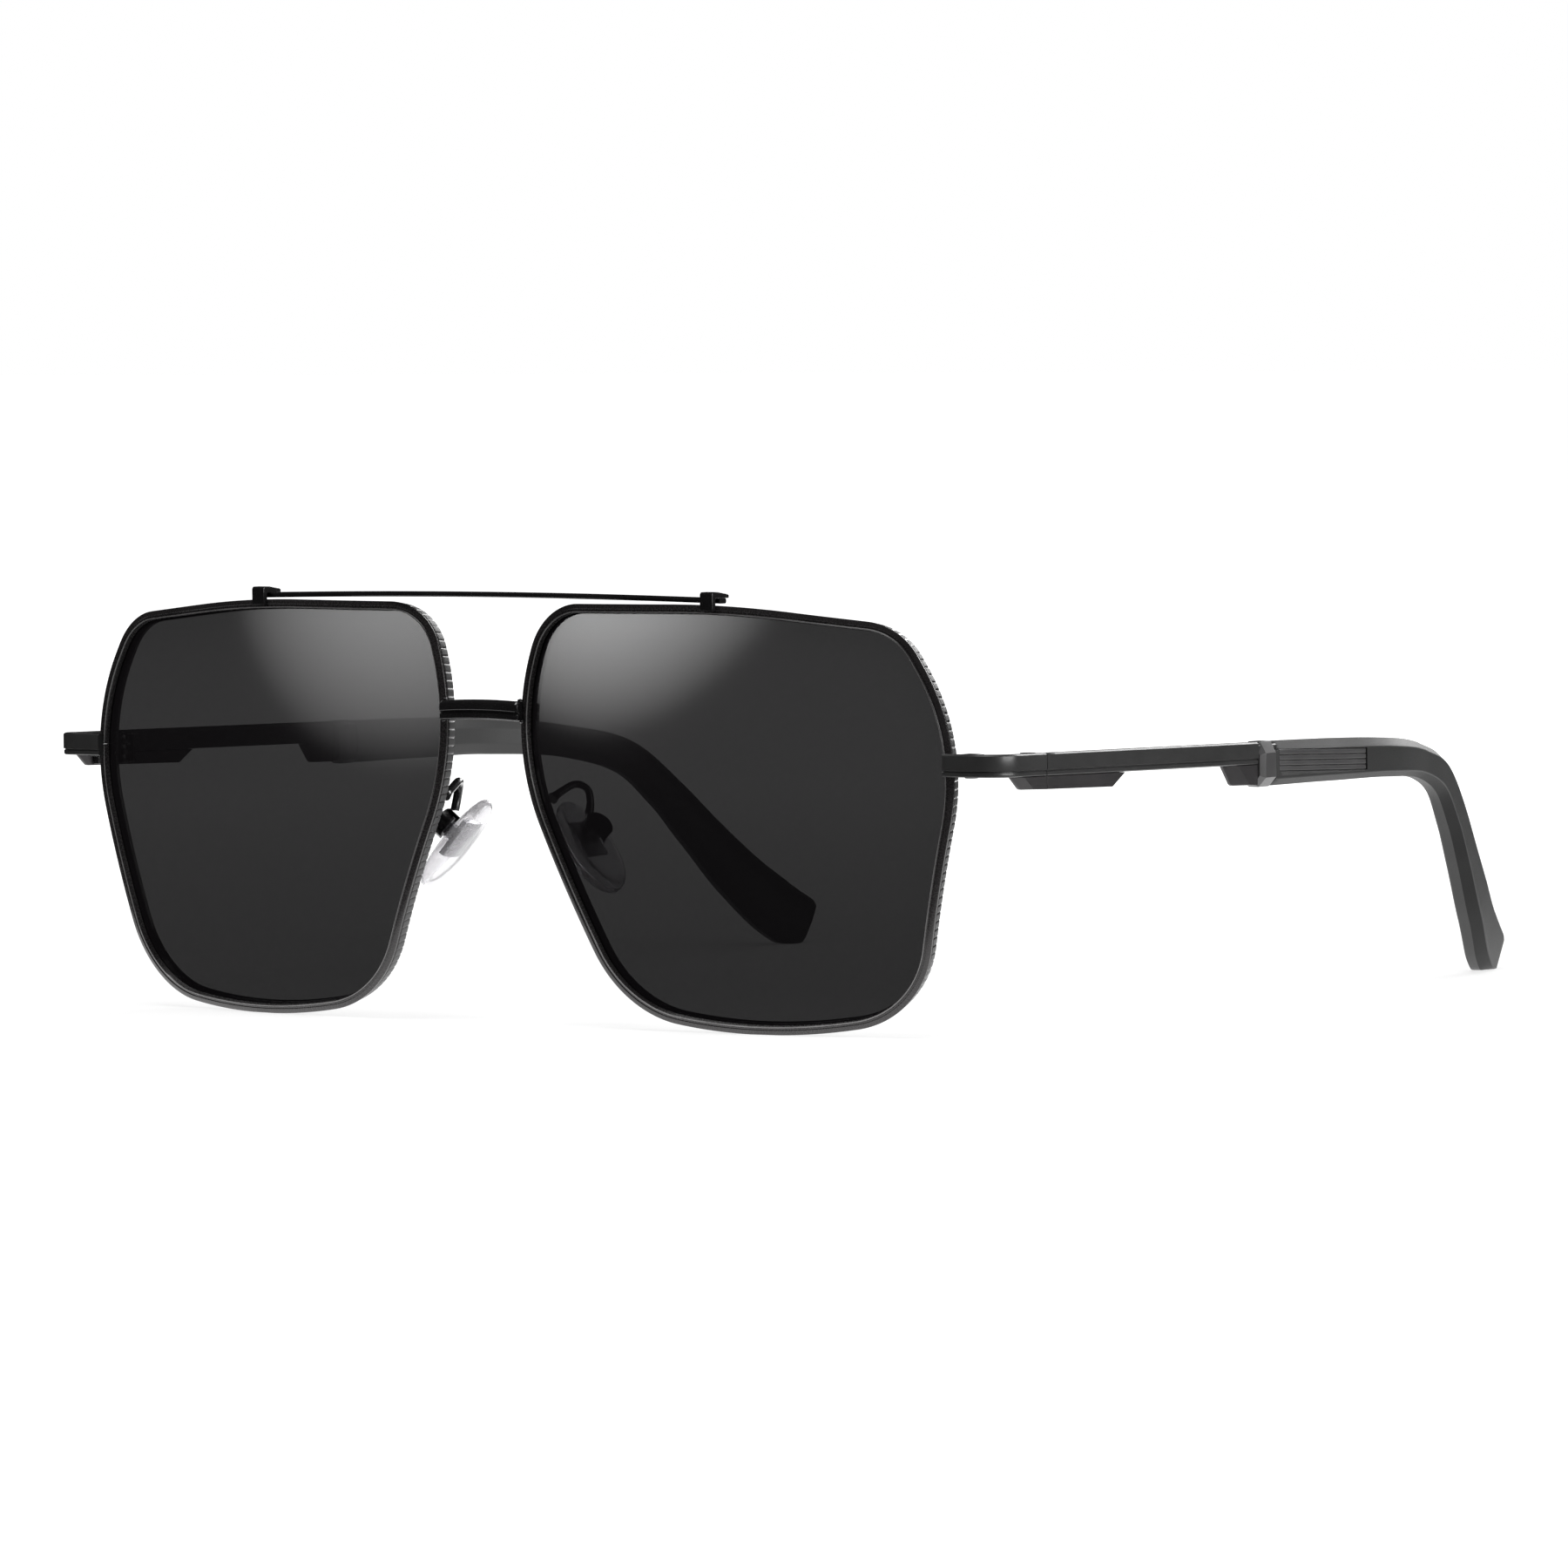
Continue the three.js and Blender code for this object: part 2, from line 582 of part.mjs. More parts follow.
// A hinge leaf: a plate on the inner side of the bar, with round knuckles at the given levels.
function hingeLeaf(direction, levels) {
  const near = SEAM_Y + direction * LEAF_SETBACK;
  const far = near + direction * LEAF_LENGTH;
  const [y0, y1] = [Math.min(near, far), Math.max(near, far)];
  const plate = box(LEAF_INNER_X, LEAF_INNER_X + LEAF_THICKNESS, y0, y1, HINGE_BOTTOM_Z, HINGE_TOP_Z);
  const parts = levels.flatMap((level) => {
    const [z0, z1] = [knuckleZ(level), knuckleZ(level) + KNUCKLE_HEIGHT];
    const [w0, w1] = [Math.min(SEAM_Y, near + direction), Math.max(SEAM_Y, near + direction)];
    const web = box(HINGE_X - WEB_START, LEAF_INNER_X + WEB_OVERLAP, w0, w1, z0, z1);
    return [post(HINGE_X, SEAM_Y, KNUCKLE_R, z0, z1), web];
  });
  const bore = post(HINGE_X, SEAM_Y, HINGE_BORE_R, HINGE_BOTTOM_Z - 1, HINGE_TOP_Z + 1);
  return cut(join(plate, ...parts), bore);
}

function hingeScrew() {
  const headBottom = HINGE_TOP_Z + SCREW_HEAD_GAP;
  const shank = post(HINGE_X, SEAM_Y, HINGE_SCREW_R, HINGE_BOTTOM_Z, headBottom + SCREW_HEAD_GAP);
  return join(shank, slottedHead(HINGE_X, SEAM_Y, HINGE_HEAD_R, headBottom, headBottom + SCREW_HEAD_HEIGHT));
}

function slottedHead(x, y, r, z0, z1) {
  const half = SCREW_SLOT.width / 2;
  const slot = box(x - 2 * r, x + 2 * r, y - half, y + half, z1 - SCREW_SLOT.depth, z1 + SCREW_SLOT.depth);
  return cut(post(x, y, r, z0, z1), slot);
}

// ---- Wedges, closing block, collar --------------------------------------------------------------

// A cover under the bar between two distances, whose bottom face has its own start and end.
function wedge({ topStart, topEnd, bottomStart, bottomEnd, facetTop, facetBottom, bottomZ }) {
  const top = (y) => barBottom(y) - WEDGE_CLEARANCE;
  const points = [
    vec(WEDGE_INNER_X, topStart, top(topStart)), vec(WEDGE_INNER_X + FACET_NOSE, topStart, top(topStart)),
    vec(WEDGE_OUTER_X, facetTop, top(facetTop)), vec(WEDGE_OUTER_X, topEnd, top(topEnd)),
    vec(WEDGE_INNER_X, topEnd, top(topEnd)),
    vec(WEDGE_INNER_X, bottomStart, bottomZ[0]), vec(WEDGE_INNER_X + FACET_NOSE, bottomStart, bottomZ[0]),
    vec(WEDGE_OUTER_X, facetBottom, bottomZ[0]), vec(WEDGE_OUTER_X, bottomEnd, bottomZ[1]),
    vec(WEDGE_INNER_X, bottomEnd, bottomZ[1]),
  ];
  return new ConvexGeometry(points);
}

const endPieceWedge = () => wedge({ ...END_WEDGE, topEnd: SEAM_Y - SEAM_GAP, bottomEnd: SEAM_Y - SEAM_GAP });

function templeFrontWedge() {
  const start = SEAM_Y + SEAM_GAP;
  return wedge({ ...FRONT_WEDGE, topStart: start, bottomStart: start, facetTop: start, facetBottom: start });
}

const templeRearWedge = () => wedge({ ...REAR_WEDGE, topEnd: REAR_WEDGE_END_Y, bottomEnd: REAR_WEDGE_END_Y });

function lockLug(z0) {
  const half = LOCK_SIZE / 2;
  const shape = polygon([
    [LOCK_X - half, LOCK_Y - half], [LOCK_X + half, LOCK_Y - half],
    [LOCK_X + half, LOCK_Y + half], [LOCK_X - half, LOCK_Y + half],
  ]);
  const bore = new THREE.Path();
  bore.absarc(LOCK_X, LOCK_Y, LOCK_BORE_R, 0, 2 * Math.PI, true);
  shape.holes.push(bore);
  return standing(shape, z0, LOCK_LUG_HEIGHT);
}

const lockUpper = () => lockLug(LOCK_MID_Z + RIM_SAW_CUT / 2);
const lockLower = () => lockLug(LOCK_MID_Z - RIM_SAW_CUT / 2 - LOCK_LUG_HEIGHT);

function lockScrew() {
  const lugBottom = LOCK_MID_Z - RIM_SAW_CUT / 2 - LOCK_LUG_HEIGHT;
  const headTop = lugBottom - SCREW_HEAD_GAP;
  const shank = post(LOCK_X, LOCK_Y, LOCK_SCREW_R, headTop - SCREW_HEAD_GAP, headTop + LOCK_SCREW_LENGTH);
  return join(shank, post(LOCK_X, LOCK_Y, LOCK_HEAD_R, headTop - SCREW_HEAD_HEIGHT, headTop));
}

function collar() {
  const outside = prism(polygon(COLLAR_OUTLINE), COLLAR_LENGTH).rotateX(Math.PI / 2)
    .translate(0, COLLAR_FRONT_Y + COLLAR_LENGTH, 0);
  return cut(outside, coreWire(CORE_CLEARANCE));
}

// ---- Temple tip and inlay -----------------------------------------------------------------------

const TIP_CURVE = new THREE.CatmullRomCurve3(TIP_STATIONS.map(({ x, y, z }) => vec(x, y, z)), false, 'centripetal');

// Place, height and thickness of the tip at a share of its length.
function tipAt(share) {
  const t = TIP_CURVE.getUtoTmapping(share) * (TIP_STATIONS.length - 1);
  const i = Math.min(Math.floor(t), TIP_STATIONS.length - 2);
  const blend = THREE.MathUtils.smoothstep(t - i, 0, 1) * TIP_EASING + (t - i) * (1 - TIP_EASING);
  const mix = (key) => THREE.MathUtils.lerp(TIP_STATIONS[i][key], TIP_STATIONS[i + 1][key], blend);
  const { x, y, z } = TIP_CURVE.getPointAt(share);
  return { x, y, z, height: mix('height'), thickness: mix('thickness') };
}

// Tip section with bevelled edges: the outer face is flat and the inner face is rounder.
const TIP_SECTION = [
  [0.5, 0.28], [0.36, 0.44], [0.1, 0.5], [-0.2, 0.48], [-0.42, 0.36], [-0.5, 0.12],
  [-0.5, -0.12], [-0.42, -0.36], [-0.2, -0.48], [0.1, -0.5], [0.36, -0.44], [0.5, -0.28],
];

function templeTip() {
  const length = TIP_CURVE.getLength();
  const rings = [];
  for (let i = 0; i <= TIP_STEPS; i++) {
    const share = i / TIP_STEPS;
    const { x, y, z, height, thickness } = tipAt(share);
    const { side, rise } = acrossTangent(TIP_CURVE.getTangentAt(share));
    const fromEnd = (1 - share) * length;
    const round = Math.sqrt(1 - Math.max(0, 1 - fromEnd / TIP_END_ROUND) ** 2 * 0.5);
    const lean = PADDLE_LEAN * THREE.MathUtils.smoothstep(share, PADDLE_LEAN_FROM, 1) * height;
    rings.push(TIP_SECTION.map(([across, up]) => vec(x, y, z)
      .addScaledVector(side, across * thickness + up * lean)
      .addScaledVector(rise, up * height * round)));
  }
  const solid = loft(rings, TIP_SECTION.map(([across, up]) => new THREE.Vector2(across, up)));
  const pocket = inlaySlab(INLAY_CLEARANCE, INLAY_INNER_X - INLAY_CLEARANCE, 2);
  return cut(solid, coreWire(CORE_CLEARANCE), pocket, belowRest());
}

function inlaySlab(margin, innerX, thickness) {
  const top = (y) => INLAY_TOP_AT_FRONT - INLAY_FALL * (y - INLAY_FRONT_Y);
  const profile = polygon([
    [INLAY_FRONT_Y - margin, top(INLAY_FRONT_Y) + margin],
    [INLAY_FRONT_Y - margin, top(INLAY_FRONT_Y) - INLAY_HEIGHT - margin],
    [INLAY_BACK_Y + margin, top(INLAY_BACK_Y) - INLAY_HEIGHT - margin],
    [INLAY_BACK_Y + margin, top(INLAY_BACK_Y) + margin],
  ]);
  return sideProfile(profile, innerX, thickness);
}

function inlay() {
  const outerX = INLAY_INNER_X + INLAY_THICKNESS;
  const grooves = [];
  for (let i = 1; i < INLAY_RIBS; i++) {
    const z = INLAY_TOP_AT_FRONT - (INLAY_HEIGHT * i) / INLAY_RIBS;
    const fall = INLAY_FALL * (INLAY_BACK_Y - INLAY_FRONT_Y + 2);
    const half = INLAY_GROOVE / 2;
    grooves.push(sideProfile(polygon([
      [INLAY_FRONT_Y - 1, z + half], [INLAY_FRONT_Y - 1, z - half],
      [INLAY_BACK_Y + 1, z - half - fall], [INLAY_BACK_Y + 1, z + half - fall],
    ]), outerX - INLAY_GROOVE, 1));
  }
  return cut(inlaySlab(0, INLAY_INNER_X, INLAY_THICKNESS), ...grooves);
}

// ---- Nose pad assembly --------------------------------------------------------------------------

// Pad frame: X across the pad, Y up along it, Z towards the nose, with its origin at the pad's middle.
const PAD_FRAME = (() => {
  const up = PAD_DOWN.clone().negate();
  const noseward = PAD_NOSEWARD.clone().addScaledVector(up, -PAD_NOSEWARD.dot(up)).normalize();
  const across = up.clone().cross(noseward);
  return new THREE.Matrix4().makeBasis(across, up, noseward).setPosition(PAD_CENTRE);
})();

const onPad = (geometry) => geometry.applyMatrix4(PAD_FRAME);

// A round bar across the pad, at the height of the rocking axis.
const acrossPad = (r, halfLength) =>
  new THREE.CylinderGeometry(r, r, 2 * halfLength, 16).rotateZ(Math.PI / 2).translate(0, PAD_LIFT, -PIVOT_DEPTH);

function corePlate(clearance) {
  const c = clearance;
  const { across, along, thick } = CORE_PLATE;
  const plate = box(
    -across / 2 - c, across / 2 + c, PAD_LIFT - along / 2 - c, PAD_LIFT + along / 2 + c,
    -thick / 2 - c, thick / 2 + c,
  );
  const lug = box(
    -LUG_WIDTH / 2 - c, LUG_WIDTH / 2 + c, PAD_LIFT - LUG_HEIGHT / 2 - c, PAD_LIFT + LUG_HEIGHT / 2 + c,
    -PIVOT_DEPTH, 0,
  );
  return join(plate, lug);
}

function nosePad() {
  const body = new THREE.SphereGeometry(0.5, 28, 14).rotateX(Math.PI / 2);
  body.scale(PAD_WIDTH, PAD_LENGTH, PAD_THICKNESS).translate(0, 0, PAD_THICKNESS / 2 - PAD_BEHIND_CORE);
  return onPad(cut(body, corePlate(CORE_POCKET_CLEARANCE)));
}

function padCore() {
  const eye = new THREE.CylinderGeometry(LUG_HEIGHT / 2, LUG_HEIGHT / 2, LUG_WIDTH, 16)
    .rotateZ(Math.PI / 2).translate(0, PAD_LIFT, -PIVOT_DEPTH);
  return onPad(cut(join(corePlate(0), eye), acrossPad(PAD_BORE_R, PAD_BOX_R)));
}

function padBox() {
  const disc = new THREE.CylinderGeometry(PAD_BOX_R, PAD_BOX_R, PAD_BOX_BACK - PAD_BOX_FRONT, 24)
    .rotateX(Math.PI / 2).translate(0, PAD_LIFT, -(PAD_BOX_FRONT + PAD_BOX_BACK) / 2);
  const slot = box(
    -PAD_SLOT_WIDTH / 2, PAD_SLOT_WIDTH / 2, PAD_LIFT - PAD_BOX_R - 1, PAD_LIFT + PAD_BOX_R + 1,
    -PAD_SLOT_BACK - 0.15, 0,
  );
  return onPad(cut(disc, slot, acrossPad(PAD_BORE_R, PAD_BOX_R + 1)));
}

function padArm() {
  const route = PAD_ARM_ROUTE.map(([x, y, z]) => vec(x, y, z));
  const curve = new THREE.CatmullRomCurve3(route, false, 'centripetal');
  const section = new THREE.Shape();
  section.absarc(0, 0, PAD_ARM_R, 0, 2 * Math.PI);
  return new THREE.ExtrudeGeometry(section, { extrudePath: curve, steps: 26, curveSegments: 5, bevelEnabled: false });
}

const padScrew = () => onPad(acrossPad(PAD_SCREW_R, PAD_BOX_R - 0.05));

// ---- Assembly -----------------------------------------------------------------------------------

const SIDES = [
  { side: 'left', place: (geometry) => geometry },
  { side: 'right', place: mirroredX },
];

function named(name, geometry, meshMaterial) {
  const mesh = new THREE.Mesh(geometry, meshMaterial);
  mesh.name = name;
  mesh.geometry.computeVertexNormals();
  return mesh;
}

// One paired piece as two meshes, left and right.
function pair(base, build, meshMaterial) {
  return SIDES.map(({ side, place }) => named(`${base}_${side}`, place(build()), meshMaterial));
}

const front = new THREE.Group();
front.add(
  named('bridge', bridge(), BLACK_METAL),
  named('brow_bar', browBar(), BLACK_METAL),
  ...pair('brow_post', browPost, BLACK_METAL),
  ...pair('rim', rim, BLACK_METAL),
  ...pair('lens', lens, TINTED_LENS),
  ...pair('rim_lock_upper', lockUpper, BLACK_METAL),
  ...pair('rim_lock_lower', lockLower, BLACK_METAL),
  ...pair('rim_lock_screw', lockScrew, STEEL),
  ...pair('end_piece', endPiece, BLACK_METAL),
  ...pair('end_piece_wedge', endPieceWedge, GUNMETAL),
  ...pair('hinge_front_leaf', () => hingeLeaf(-1, [0, 2]), BLACK_METAL),
  ...pair('hinge_screw', hingeScrew, STEEL),
  ...pair('pad_arm', padArm, BLACK_METAL),
  ...pair('pad_box', padBox, BLACK_METAL),
  ...pair('pad_screw', padScrew, STEEL),
);

const nosePads = new THREE.Group();
nosePads.add(...pair('nose_pad', nosePad, CLEAR_SILICONE), ...pair('pad_core', padCore, STEEL));

const temples = new THREE.Group();
temples.add(
  ...pair('temple_bar', templeBar, BLACK_METAL),
  ...pair('temple_front_wedge', templeFrontWedge, GUNMETAL),
  ...pair('temple_rear_wedge', templeRearWedge, GUNMETAL),
  ...pair('hinge_temple_leaf', () => hingeLeaf(1, [1]), BLACK_METAL),
  ...pair('ferrule_collar', collar, GUNMETAL),
  ...pair('temple_tip', templeTip, BLACK_PLASTIC),
  ...pair('tip_inlay', inlay, GUNMETAL),
);

// The finished glasses stand on the rims and the tips, centred over the origin.
const group = new THREE.Group();
group.add(front, nosePads, temples);
const bounds = new THREE.Box3().setFromObject(group);
group.position.set(0, -(bounds.min.y + bounds.max.y) / 2, -bounds.min.z);

export default group;
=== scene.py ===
"""Double-bridge square pilot sunglasses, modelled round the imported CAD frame."""

import math

import bmesh
import bpy
from mathutils import Matrix, Vector

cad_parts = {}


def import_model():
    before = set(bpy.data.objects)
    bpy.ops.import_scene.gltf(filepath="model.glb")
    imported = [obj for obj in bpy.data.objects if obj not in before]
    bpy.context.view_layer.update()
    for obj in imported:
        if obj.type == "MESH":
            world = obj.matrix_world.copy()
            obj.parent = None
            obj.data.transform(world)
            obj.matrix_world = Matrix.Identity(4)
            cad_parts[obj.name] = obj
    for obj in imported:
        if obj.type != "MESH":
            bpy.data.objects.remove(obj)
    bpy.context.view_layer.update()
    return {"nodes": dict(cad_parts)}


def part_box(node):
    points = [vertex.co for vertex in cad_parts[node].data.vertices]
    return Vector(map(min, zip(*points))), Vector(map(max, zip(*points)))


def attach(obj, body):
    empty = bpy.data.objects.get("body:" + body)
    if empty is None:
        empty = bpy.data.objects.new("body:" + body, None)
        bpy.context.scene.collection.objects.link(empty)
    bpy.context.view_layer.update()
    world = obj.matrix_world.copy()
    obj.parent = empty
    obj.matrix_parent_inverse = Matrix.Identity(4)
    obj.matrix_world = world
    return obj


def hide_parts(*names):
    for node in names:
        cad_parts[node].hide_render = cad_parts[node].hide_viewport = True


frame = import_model()

MM = 0.001
SIDES = (("left", 1), ("right", -1))

# The part's own millimetres start at the brow posts' front and at the resting height.
POST_FRONT_Y = -0.35
REST_Z = 0.4
SHIFT_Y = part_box("brow_post_left")[0].y / MM - POST_FRONT_Y
SHIFT_Z = -REST_Z


def place(x, y, z):
    """A point in the part's millimetres as metres in the row frame."""
    return Vector((x * MM, (y + SHIFT_Y) * MM, (z + SHIFT_Z) * MM))


def add_object(name, data):
    obj = bpy.data.objects.new(name, data)
    bpy.context.scene.collection.objects.link(obj)
    return obj


# ---- Materials --------------------------------------------------------------------------------

# A colour Mix node's sockets: the two colours and the result.
MIX_DARK, MIX_LIGHT, MIX_RESULT = 6, 7, 2


class Shader:
    """A node material round one Principled BSDF."""

    def __init__(self, name):
        self.material = bpy.data.materials.new(name)
        self.material.use_nodes = True
        self.tree = self.material.node_tree
        self.bsdf = self.tree.nodes["Principled BSDF"]
        self.coords = self.add("ShaderNodeTexCoord").outputs["Object"]

    def add(self, kind, **values):
        node = self.tree.nodes.new(kind)
        for key, value in values.items():
            if hasattr(node, key):
                setattr(node, key, value)
            else:
                node.inputs[key.replace("_", " ")].default_value = value
        return node

    def link(self, out, into):
        self.tree.links.new(out, into)

    def set(self, **values):
        for key, value in values.items():
            self.bsdf.inputs[key.replace("_", " ")].default_value = value

    def noise(self, scale, detail=3.0, stretch=None, roughness=0.5):
        node = self.add("ShaderNodeTexNoise", Scale=scale, Detail=detail, Roughness=roughness)
        if stretch:
            mapping = self.add("ShaderNodeMapping", Scale=stretch)
            self.link(self.coords, mapping.inputs["Vector"])
            self.link(mapping.outputs["Vector"], node.inputs["Vector"])
        else:
            self.link(self.coords, node.inputs["Vector"])
        return node.outputs["Fac"]

    def ranged(self, value, low, high, start=0.3, end=0.7):
        node = self.add("ShaderNodeMapRange")
        for key, number in (("From Min", start), ("From Max", end), ("To Min", low), ("To Max", high)):
            node.inputs[key].default_value = number
        self.link(value, node.inputs["Value"])
        return node.outputs["Result"]

    def shaded(self, factor, dark, light):
        """A colour between two, by a factor."""
        node = self.add("ShaderNodeMix", data_type="RGBA")
        self.link(factor, node.inputs["Factor"])
        node.inputs[MIX_DARK].default_value = (*dark, 1)
        node.inputs[MIX_LIGHT].default_value = (*light, 1)
        return node.outputs[MIX_RESULT]

    def coloured(self, factor, dark, light):
        """The base colour between two, by a factor that is spread over its middle range."""
        self.link(self.shaded(self.ranged(factor, 0, 1), dark, light), self.bsdf.inputs["Base Color"])

    def glossed(self, factor, low, high):
        self.link(self.ranged(factor, low, high), self.bsdf.inputs["Roughness"])

    def bump(self, height, strength, distance):
        node = self.add("ShaderNodeBump", Strength=strength, Distance=distance)
        self.link(height, node.inputs["Height"])
        self.link(node.outputs["Normal"], self.bsdf.inputs["Normal"])


def metal(name, dark, light, roughness, metallic=0.25, brush=None, coat=0.0):
    """Plated metal: cloudy tone, uneven gloss and fine polishing marks."""
    shader = Shader(name)
    cloud = shader.noise(scale=260.0, detail=4.0)
    marks = shader.noise(scale=5200.0, detail=5.0, stretch=brush)
    shader.coloured(cloud, dark, light)
    shader.glossed(marks, roughness - 0.04, roughness + 0.06)
    shader.set(Metallic=metallic, Coat_Weight=coat, Coat_Roughness=0.12)
    shader.bump(marks, strength=0.15, distance=0.00001)
    return shader.material


def plastic(name, dark, light, roughness=0.56, shine=0.5):
    """Matte moulded plastic with a fine spark-eroded grain."""
    shader = Shader(name)
    cloud = shader.noise(scale=180.0, detail=3.0)
    grain = shader.noise(scale=9000.0, detail=3.0, roughness=0.6)
    shader.coloured(cloud, dark, light)
    shader.glossed(grain, roughness - 0.06, roughness + 0.06)
    shader.set(IOR=1.45, Specular_IOR_Level=shine)
    shader.bump(grain, strength=0.3, distance=0.000015)
    return shader.material


def tinted_lens(name):
    """Neutral grey tint in the mass with a low-reflection hard coat."""
    shader = Shader(name)
    cloud = shader.noise(scale=40.0, detail=2.0)
    shader.coloured(cloud, (0.0088, 0.0078, 0.0088), (0.0100, 0.0088, 0.0100))
    shader.set(Roughness=0.1, IOR=1.5, Alpha=0.852, Specular_IOR_Level=0.24)
    return shader.material


def silicone(name):
    """Clear moulded silicone: milky white facing the view, its colour painted grey where it turns away as
    painted shade along its outline, with flow marks.
    """
    shader = Shader(name)
    flow = shader.noise(scale=420.0, detail=2.0, stretch=(1.0, 1.0, 0.35))
    # Painted shade: the base colour greys where the surface turns away from the view.
    turn = shader.add("ShaderNodeLayerWeight", Blend=0.35).outputs["Facing"]
    edge = shader.ranged(turn, 0, 1, start=0.35, end=0.95)
    painted_edge_shade = shader.shaded(edge, (0.90, 0.89, 0.91), (0.66, 0.66, 0.68))
    shader.link(painted_edge_shade, shader.bsdf.inputs["Base Color"])
    shader.glossed(flow, 0.10, 0.22)
    shader.set(IOR=1.2, Transmission_Weight=0.82)
    shader.bump(flow, strength=0.3, distance=0.0001)
    return shader.material


BLACK_METAL = metal("black_metal_plating", (0.010, 0.0095, 0.010), (0.015, 0.0145, 0.015), 0.22, coat=0.3)
RIM_METAL = metal("black_metal_rim_face", (0.021, 0.0195, 0.020), (0.028, 0.026, 0.0265), 0.26)
BAND_METAL = metal("black_metal_knurled", (0.017, 0.0165, 0.017), (0.024, 0.0235, 0.024), 0.5)
# Light grey on the rim's inner bead: a painted highlight for the bright line along its inner edge.
BEAD_PAINTED_HIGHLIGHT = metal("black_metal_bead_painted_highlight", (0.14, 0.137, 0.137), (0.19, 0.187, 0.187), 0.22)
BAR_METAL = metal("black_metal_bar", (0.030, 0.030, 0.030), (0.039, 0.039, 0.039), 0.36,
                  brush=(1.0, 0.12, 1.0), coat=0.1)
GUNMETAL = metal("gunmetal_satin", (0.021, 0.0195, 0.0205), (0.029, 0.0265, 0.028), 0.42,
                 brush=(1.0, 0.15, 1.0))
COLLAR_METAL = metal("gunmetal_bright", (0.06, 0.059, 0.06), (0.08, 0.079, 0.08), 0.34)
SCREW_STEEL = metal("screw_blackened_steel", (0.022, 0.022, 0.023), (0.035, 0.035, 0.036), 0.32,
                    metallic=0.5)
CORE_STEEL = metal("pad_core_steel", (0.22, 0.22, 0.23), (0.3, 0.3, 0.31), 0.28, metallic=0.8)
TIP_PLASTIC = plastic("tip_black_plastic", (0.0105, 0.0105, 0.0105), (0.0145, 0.0145, 0.0145))
# Darker plastic for the tip's chamfer and top bevel: painted shade where those facets fall dark.
TIP_PAINTED_SHADE = plastic("tip_chamfer_painted_shade", (0.004, 0.004, 0.004), (0.0055, 0.0055, 0.0055), 0.5, 0.18)
LENS = tinted_lens("lens_grey_tint")
SILICONE = silicone("pad_clear_silicone")

# ---- Mesh helpers -----------------------------------------------------------------------------


def smooth(mesh, sharp):
    """Smooth shading, with edges over an angle in degrees kept sharp."""
    mesh.shade_smooth()
    mesh.set_sharp_from_angle(angle=math.radians(sharp))


def saved(bm, name):
    mesh = bpy.data.meshes.new(name)
    bm.to_mesh(mesh)
    bm.free()
    return mesh


def finish_piece(name, mesh, body, material, nodes, sharp):
    """Puts a mesh in the scene as one piece of the object."""
    smooth(mesh, sharp)
    obj = add_object(name, mesh)
    for shade in material if isinstance(material, tuple) else (material,):
        mesh.materials.append(shade)
    flat = obj.modifiers.new("flat_faces", "WEIGHTED_NORMAL")
    flat.keep_sharp = True
    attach(obj, body)
    if nodes:
        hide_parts(*nodes)
    return obj


def solid(verts, faces, sign, shade=None):
    """A bmesh from points in the part's millimetres; a sign of -1 mirrors it to the other side."""
    bm = bmesh.new()
    made = [bm.verts.new(place(x * sign, y, z)) for x, y, z in verts]
    for number, face in enumerate(faces):
        made_face = bm.faces.new([made[i] for i in face])
        if shade:
            made_face.material_index = shade(number)
    bmesh.ops.recalc_face_normals(bm, faces=bm.faces)
    return bm


def build(name, verts, faces, body, material, nodes, sign, sharp, bevel=None, shade=None):
    """A piece from points; a bevel is (width, angle, segments) and shade numbers each face's material."""
    bm = solid(verts, faces, sign, shade)
    if bevel:
        soften(bm, *bevel)
    return finish_piece(name, saved(bm, name), body, material, nodes, sharp)


def soften(bm, width, angle, segments):
    """Bevels every edge sharper than an angle in degrees; the width is in millimetres."""
    limit = math.radians(angle)
    edges = [e for e in bm.edges if len(e.link_faces) == 2 and e.calc_face_angle(0.0) > limit]
    bmesh.ops.bevel(
        bm, geom=edges, offset=width * MM, offset_type="OFFSET", segments=segments,
        profile=0.5, affect="EDGES", clamp_overlap=True, loop_slide=True,
    )


SAME_POINT = 0.004
SAME_PLANE = math.radians(1.0)


def refined(node, body, material, width=0.08):
    """A CAD node's shape with its flat faces merged and its edges softened."""
    bm = bmesh.new()
    bm.from_mesh(frame["nodes"][node].data)
    bmesh.ops.remove_doubles(bm, verts=bm.verts, dist=SAME_POINT * MM)
    bmesh.ops.dissolve_limit(
        bm, angle_limit=SAME_PLANE, use_dissolve_boundaries=False, verts=bm.verts, edges=bm.edges
    )
    soften(bm, width, 28.0, 2)
    for face in bm.faces:
        face.material_index = 0
    name = node + "_finished"
    return finish_piece(name, saved(bm, name), body, material, [node], 30.0)


def loft(rings):
    """Points and faces of a skin over equal rings, with a cap at each end."""
    count = len(rings[0])
    verts = [p for ring in rings for p in ring]
    faces = []
    for r in range(len(rings) - 1):
        a0, b0 = r * count, (r + 1) * count
        for i in range(count):
            j = (i + 1) % count
            faces.append((a0 + i, a0 + j, b0 + j, b0 + i))
    faces.append(tuple(range(count)))
    faces.append(tuple(range(len(verts) - 1, len(verts) - 1 - count, -1)))
    return verts, faces


# A corner's arc takes up at most this share of the shorter side next to it.
CORNER_SHARE = 0.49


